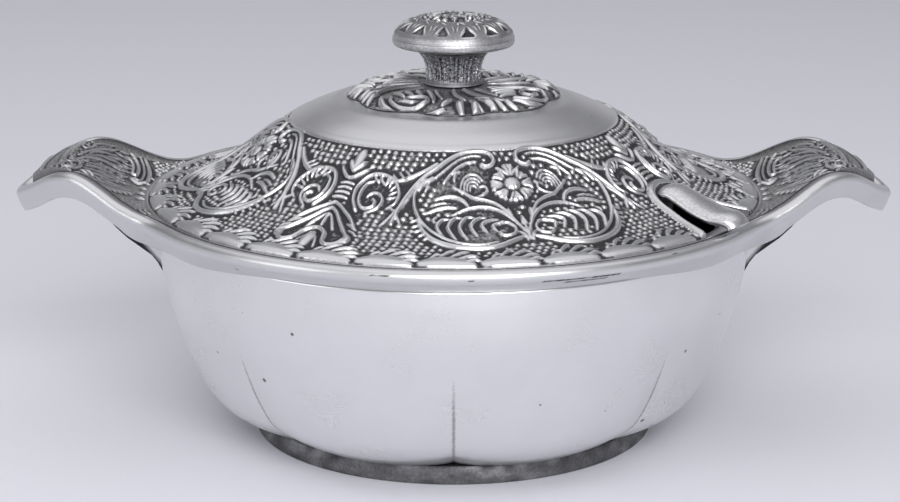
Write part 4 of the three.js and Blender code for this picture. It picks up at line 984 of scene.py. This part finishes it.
def make_rosette():
    plan = np.arange(-46, 46.1, 0.2)
    relief = Relief(plan, plan)
    for k in range(4):
        c, s = cos(k * pi / 2), sin(k * pi / 2)
        relief.strokes(ROSETTE_LINES, place=lambda p: np.column_stack([p[:, 0] * c - p[:, 1] * s,
                                                                       p[:, 0] * s + p[:, 1] * c]))
    relief.h += rng.normal(size=relief.h.shape) * 0.24 * ease(relief.h, 0.9, 0.3)
    relief.h = blur(relief.h, 1, False)
    angles = degrees(0, 360, 0.5)
    radii = np.concatenate([np.linspace(LID_BORE, 11, 5), np.arange(11.5, ROSETTE + 0.1, 0.32)])
    radius, angle = np.meshgrid(radii, angles, indexing="ij")
    scallop = 1 - np.abs(np.cos(4 * (angle + pi / 2)))
    reach = radius - 2.6 * scallop * ease(radius, ROSETTE / 2, ROSETTE)
    x, y = reach * np.cos(angle), reach * np.sin(angle)
    carved_part = ease(radius, 11.5, 15)
    lift = (relief.at(x, y) - 0.5) * carved_part * (1 - 0.6 * ease(radius, ROSETTE - 1, ROSETTE))
    plate = 2.4 - 1.7 * ease(radius, ROSETTE - 5, ROSETTE)
    top = np.stack([x, y, lid_height(reach) + plate + lift], -1)
    dark = relief.at(x, y, relief.recess(3)) - 0.42
    # Painted shade round the foot of the stem, on top of the oxide in the relief's hollows.
    sunk = 0.42 + dark * carved_part + 0.3 * (1 - ease(radius, 11, 14.5))
    below = top[-1] * [1.004, 1.004, 0] + [0, 0, 1] * (lid_height(reach[-1]) + 0.4)[:, None]
    rows = [top[-1] * [1.003, 1.003, 1] - [0, 0, 0.25], below]
    under = np.array([40, 30, 20, 10, LID_BORE])
    rows = [*rows, *turned(under, lid_height(under) + 0.3, angles), top[0]]
    points = np.concatenate([top, np.stack(rows)])
    # The rosette's edge wall and underside are darkened as painted shade under its rim.
    sunk = np.concatenate([sunk, np.full((len(rows), len(angles)), 0.6)])
    made = Shell().grid(points, closed_u=True, strips=4, recess=sunk).object("rosette", 70)
    finish_piece(made, "lid", ["knob_rosette"], "relief", carved)


make_rosette()


# Knob: a waisted stem, rough from the mould, and a cap with leaves above a plain band

def make_stem():
    base, top, mouth = STEM_BASE, STEM_BASE + 13.6, 15.2
    side = spline([[12.0, base + 0.3], [11.7, base + 0.9], [11.35, base + 1.6], [11.3, base + 6.1],
                   [12.6, base + 10.6], [mouth, top]], 0.2)
    angles = degrees(0, 360, 0.75)
    points = turned(side[:, 0], side[:, 1], angles)
    streaks = blur(np.repeat(rng.normal(size=(1, len(angles))), len(side), axis=0), 1, True) * 0.35
    grain = blur(rng.normal(size=(len(side), len(angles))), 1, True)
    push = np.clip(streaks + 0.5 * grain, -0.6, 0.5) * ease(points[..., 2], base + 0.8, base + 3)
    push = push * (1 - ease(points[..., 2], top - 1.5, top))
    points[..., :2] *= (1 + (push - 0.15) / np.hypot(points[..., 0], points[..., 1]))[..., None]
    shell = Shell().grid(points, closed_u=True, strips=2, recess=0.55 - 0.5 * push, area=(0, 0, 1, 0.9))
    ends = path(mouth, top, LID_BORE, top, LID_BORE, base, 12.0, base, 12.0, base + 0.3)
    shell.grid(turned(*ends.T, angles), closed_u=True, flip=True, area=(0, 0.9, 1, 0.1))
    finish_piece(shell.object("knob_neck", 50), "lid", ["knob_stem"], "relief", weathered)


make_stem()

HOLLOWS, HOLLOW_FIRST, CAP_TOP = 13, -101.8, CAP_BASE + 14.9


def cap_relief():
    """A ring of ragged hollows between leaves, with pebbled ground inside it."""
    relief = Relief(np.arange(0, 720) * 0.5 - 180, np.arange(0.2, 26, 0.15),
                    lambda r: (max(r, 1) * pi / 180, 1.0), wrap=True)
    step = 360 / HOLLOWS
    turn, out = np.meshgrid(relief.u - HOLLOW_FIRST, relief.v)
    off = np.abs((turn + step / 2) % step - step / 2) * pi / 180 * out
    which = np.round(turn / step).astype(int) % HOLLOWS
    ragged = rng.uniform(0.75, 1.2, HOLLOWS)[which]
    apex = rng.uniform(16.8, 18.6, HOLLOWS)[which]
    wide = 2.6 * ragged * np.clip((out - apex) / (22.4 - apex), 0, 1)
    off = off + blur(rng.normal(size=off.shape), 2, True) * 1.6
    hollow = ease(wide - off, -0.35, 0.35) * (1 - ease(out, 22.3, 22.9)) * (out > apex)
    depth = rng.choice([0.25, 0.6, 1.0, 1.0], HOLLOWS)[which]
    relief.h += 1.35 * (1 - hollow * depth) * ease(out, 12.4, 13.2)
    for k in range(HOLLOWS):
        at = HOLLOW_FIRST + step * k
        for side in (-1, 1):
            leaf = [[at + side * 8.6, 22.6], [at + side * 4.6, 20], [at + side * 0.6, 17.2]]
            relief.stroke(leaf, 1.6, 1.9, (0.5, 0.5))
            leaf = [[at + side * 12.4, 21.4], [at + side * 11, 18.6], [at + side * 8, 16.4]]
            relief.stroke(leaf, 1.3, 1.8, (0.4, 0.4))
        relief.stroke([[at + 3, 16.6], [at - 5, 15.2], [at - 10, 13.8]], 1.8, 1.9, (0.5, 0.4))
        mid = at + step / 2
        relief.stroke([[mid, 10.4], [mid + 5, 8.2], [mid - 3, 5.6]], 1.6, 1.1, (0.7, 0.4))
        low = HOLLOW_FIRST + step * (k + rng.uniform(0.3, 0.7))
        relief.press(low, rng.uniform(14, 17), 1.1, 2.0)
    for k in range(110):
        u, v = rng.uniform(-180, 180), 19.5 * sqrt(rng.uniform(0.02, 1))
        relief.press(u, v, 1.5, rng.uniform(0.8, 1.5), 1.2)
    relief.h[(relief.v > 11.4) & (relief.v < 12.6)] += 0.9
    relief.h = blur(relief.h, 1, True)
    return relief


def make_cap():
    relief = cap_relief()
    full = spline(path(25.0,5.1, 23.6,7.4, 20.6,9.9, 16,12.0, 11.4,12.9, 10.4,13.3, 9.0,14.1, 5.4,14.7,
                       0.2,14.9) + [0, CAP_BASE], 0.16)
    angles = np.radians(relief.u)
    dome = turned(full[:, 0], full[:, 1], angles)
    r = np.broadcast_to(full[:, :1], dome.shape[:2])
    u = np.broadcast_to(relief.u[None, :], dome.shape[:2])
    shown = 1 - ease(r, 23.6, 24.6)
    lift = (relief.at(u, r) - 0.9) * shown * ease(r, 0.5, 2)
    slope = np.gradient(full, axis=0)
    normal = unit(np.stack([slope[:, 1], -slope[:, 0]], -1))
    dome[..., 0] += lift * normal[:, :1] * np.cos(angles)
    dome[..., 1] += lift * normal[:, :1] * np.sin(angles)
    dome[..., 2] = np.minimum(dome[..., 2] + lift * normal[:, 1:], CAP_TOP)
    sunk = 0.44 + (relief.at(u, r, relief.recess(3)) - 0.38) * shown
    band = spline(path(15.2,0, 19,0.7, 23.2,1.6, 24.6,2.3, 25,3.4, 25,4.5, 24.8,5.0) + [0, CAP_BASE], 0.3)
    shell = Shell().grid(turned(*band.T, angles), closed_u=True, recess=0.44, area=(0, 0, 1, 0.25))
    shell.grid(dome, closed_u=True, recess=sunk, area=(0, 0.25, 1, 0.65))
    bore = path(LID_BORE, CAP_BASE + 6.35, LID_BORE, CAP_BASE, 15.2, CAP_BASE)
    shell.grid(turned(*bore.T, angles), closed_u=True, area=(0, 0.9, 1, 0.1))
    finish_piece(shell.object("knob_top", 55), "lid", ["knob_cap"], "relief", carved)


make_cap()


# Ladle: a hooked handle, crowned like a finger, and a round bowl low in the tureen

def ladle_place(points):
    """Points of the ladle, which is made along X, turned and moved into the notch."""
    c, s = cos(radians(LADLE_ANGLE)), sin(radians(LADLE_ANGLE))
    x, y = points[..., 0], points[..., 1] + LADLE_SIDE
    return np.stack([x * c - y * s, x * s + y * c, points[..., 2]], -1)


def make_ladle_handle():
    end = [[126.8 + 4.9 * cos(radians(t)), 99.8 + 4.4 * sin(radians(t))]
           for t in (90, 66, 44, 24)]
    stem = path(81,28.5, 81.4,36, 82.6,48, 85.8,62, 89.3,74.2, 93,87.5, 95.9,99.6, 96.7,105.8,
                98.6,109.9, 102.0,110.9, 107,109.2, 113.8,106.6, 121.5,104.6)
    line = spline(np.vstack([stem, end]), 0.35)
    step = unit(np.gradient(line, axis=0))
    half = 4.6 + 2.9 * ease(line[:, 0], 95.5, 101) + 1.7 * ease(line[:, 0], 101, 123)
    half *= np.sqrt(1 - 0.5 * ease(np.linspace(0, 1, len(line)), 0.9, 1))
    angle = degrees(0, 360, 5)
    rise = np.where(angle < pi, 3.3, 2.9) * np.sin(angle)
    rows = [np.column_stack([p[0] - t[1] * rise, np.cos(angle) * w, p[1] + t[0] * rise])
            for p, t, w in zip(line, step, half)]
    first, last = rows[0], rows[-1]
    for shrink in (0.85, 0.45, 0.05):
        push = step[-1] * 0.5 * (1 - shrink)
        rows.append(last.mean(axis=0) + (last - last.mean(axis=0)) * shrink + [push[0], 0, push[1]])
    rows.insert(0, first.mean(axis=0) + (first - first.mean(axis=0)) * 0.05)
    made = Shell().grid(ladle_place(np.stack(rows)), closed_u=True, flip=True).object("ladle_grip", 60)
    finish_piece(made, "ladle", ["ladle_handle"], "body", polished)


def make_ladle_bowl():
    t = np.radians(np.linspace(0, 90, 46))
    lip, reach = 36.9, 46
    outer = np.column_stack([32 * np.sin(t), lip - 24 * np.cos(t)])
    inner = np.column_stack([30.2 * np.sin(t), lip - 22.2 * np.cos(t)])[::-1]
    rounded = path(31.9, lip, 31.5, lip + 0.25, 30.8, lip + 0.25, 30.3, lip)
    profile = np.vstack([outer[:-1], rounded, inner[1:]])
    profile[0, 0] = profile[-1, 0] = 0.05
    profile[:, 1] = np.minimum(profile[:, 1], lip)
    points = turned(profile[:, 0], profile[:, 1], degrees(0, 360, 1.5))
    points[..., 0] += reach
    hidden = (np.arange(len(profile) - 1) > 47).astype(int)[:, None]
    made = Shell().grid(ladle_place(points), closed_u=True, slot=hidden).object("ladle_cup", 50)
    finish_piece(made, "ladle", ["ladle_bowl"], "body", polished, inside)


make_ladle_handle()
make_ladle_bowl()


# Floor, light and camera

def put(name, data):
    made = bpy.data.objects.new(name, data)
    bpy.context.scene.collection.objects.link(made)
    return made


def make_floor():
    half, drop = 6.0, 0.0002
    mesh = bpy.data.meshes.new("floor")
    corners = [(-half, -half, 0), (half, -half, 0), (half, half, 0), (-half, half, 0)]
    mesh.from_pydata(corners, [], [(0, 1, 2, 3)])
    material, _, shader = new_material("pale_floor")
    wire(shader, {"Base Color": (0.70, 0.702, 0.755, 1), "Roughness": 0.75})
    mesh.materials.append(material)
    plane = put("floor", mesh)
    plane.location.z = -drop


def make_world():
    """A soft studio: pale at the horizon and overhead, with a darker band between."""
    world = bpy.data.worlds.new("studio")
    world.use_nodes = True
    tree = world.node_tree
    towards = add(tree, "TexCoord", {}).outputs["Generated"]
    split = add(tree, "SeparateXYZ", {0: towards})
    greys = [(place, (value, value * 1.005, value * 1.06))
             for place, value in ((0.20, 0.56), (0.36, 0.20), (0.48, 0.22), (0.7, 0.42))]
    sky = ramp(tree, split.outputs["Z"], [(0.0, (0.60, 0.60, 0.64)), *greys, (1.0, (0.50, 0.50, 0.53))])
    wire(tree.nodes["Background"], {"Color": sky, "Strength": 1.0})
    bpy.context.scene.world = world


def area_light(name, place, target, size, power):
    light = bpy.data.lights.new(name, "AREA")
    light.shape = "RECTANGLE"
    light.size, light.size_y = size
    light.energy = power
    made = put(name, light)
    made.location = place
    aim = Vector(target) - Vector(place)
    made.rotation_euler = aim.to_track_quat("-Z", "Y").to_euler()


make_floor()
make_world()
TUREEN_MIDDLE = (0, 0, 0.08)
area_light("overhead", (-0.15, 0.1, 1.7), TUREEN_MIDDLE, (2.2, 2.8), 10)
area_light("left", (-1.5, -0.9, 0.8), TUREEN_MIDDLE, (1.0, 1.0), 5)
area_light("front", (0.3, -2.0, 1.2), (0, 0, 0.06), (1.6, 0.9), 42)

# Camera, fitted to the photograph: focal length and shift in its pixels, place in metres, tilt in radians
PHOTO_WIDTH, FOCAL, SHIFT, SENSOR, TILT = 900, 2348.17, -3.6, 36, 0.256658

camera = bpy.data.cameras.new("camera")
camera.lens = FOCAL * SENSOR / PHOTO_WIDTH
camera.sensor_width = SENSOR
camera.shift_x = SHIFT / PHOTO_WIDTH
camera_object = put("camera", camera)
camera_object.location = (0, -0.950, 0.322165)
camera_object.rotation_euler = (pi / 2 - TILT, 0, 0)
bpy.context.scene.camera = camera_object

plain_nodes = {web_cast: ("handle_rib_right", "handle_rib_left"), steel: ("knob_washer", "knob_screw")}
for material, names in plain_nodes.items():
    for name in names:
        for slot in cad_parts[name].material_slots:
            slot.material = material

bpy.context.scene.view_settings.view_transform = "Standard"
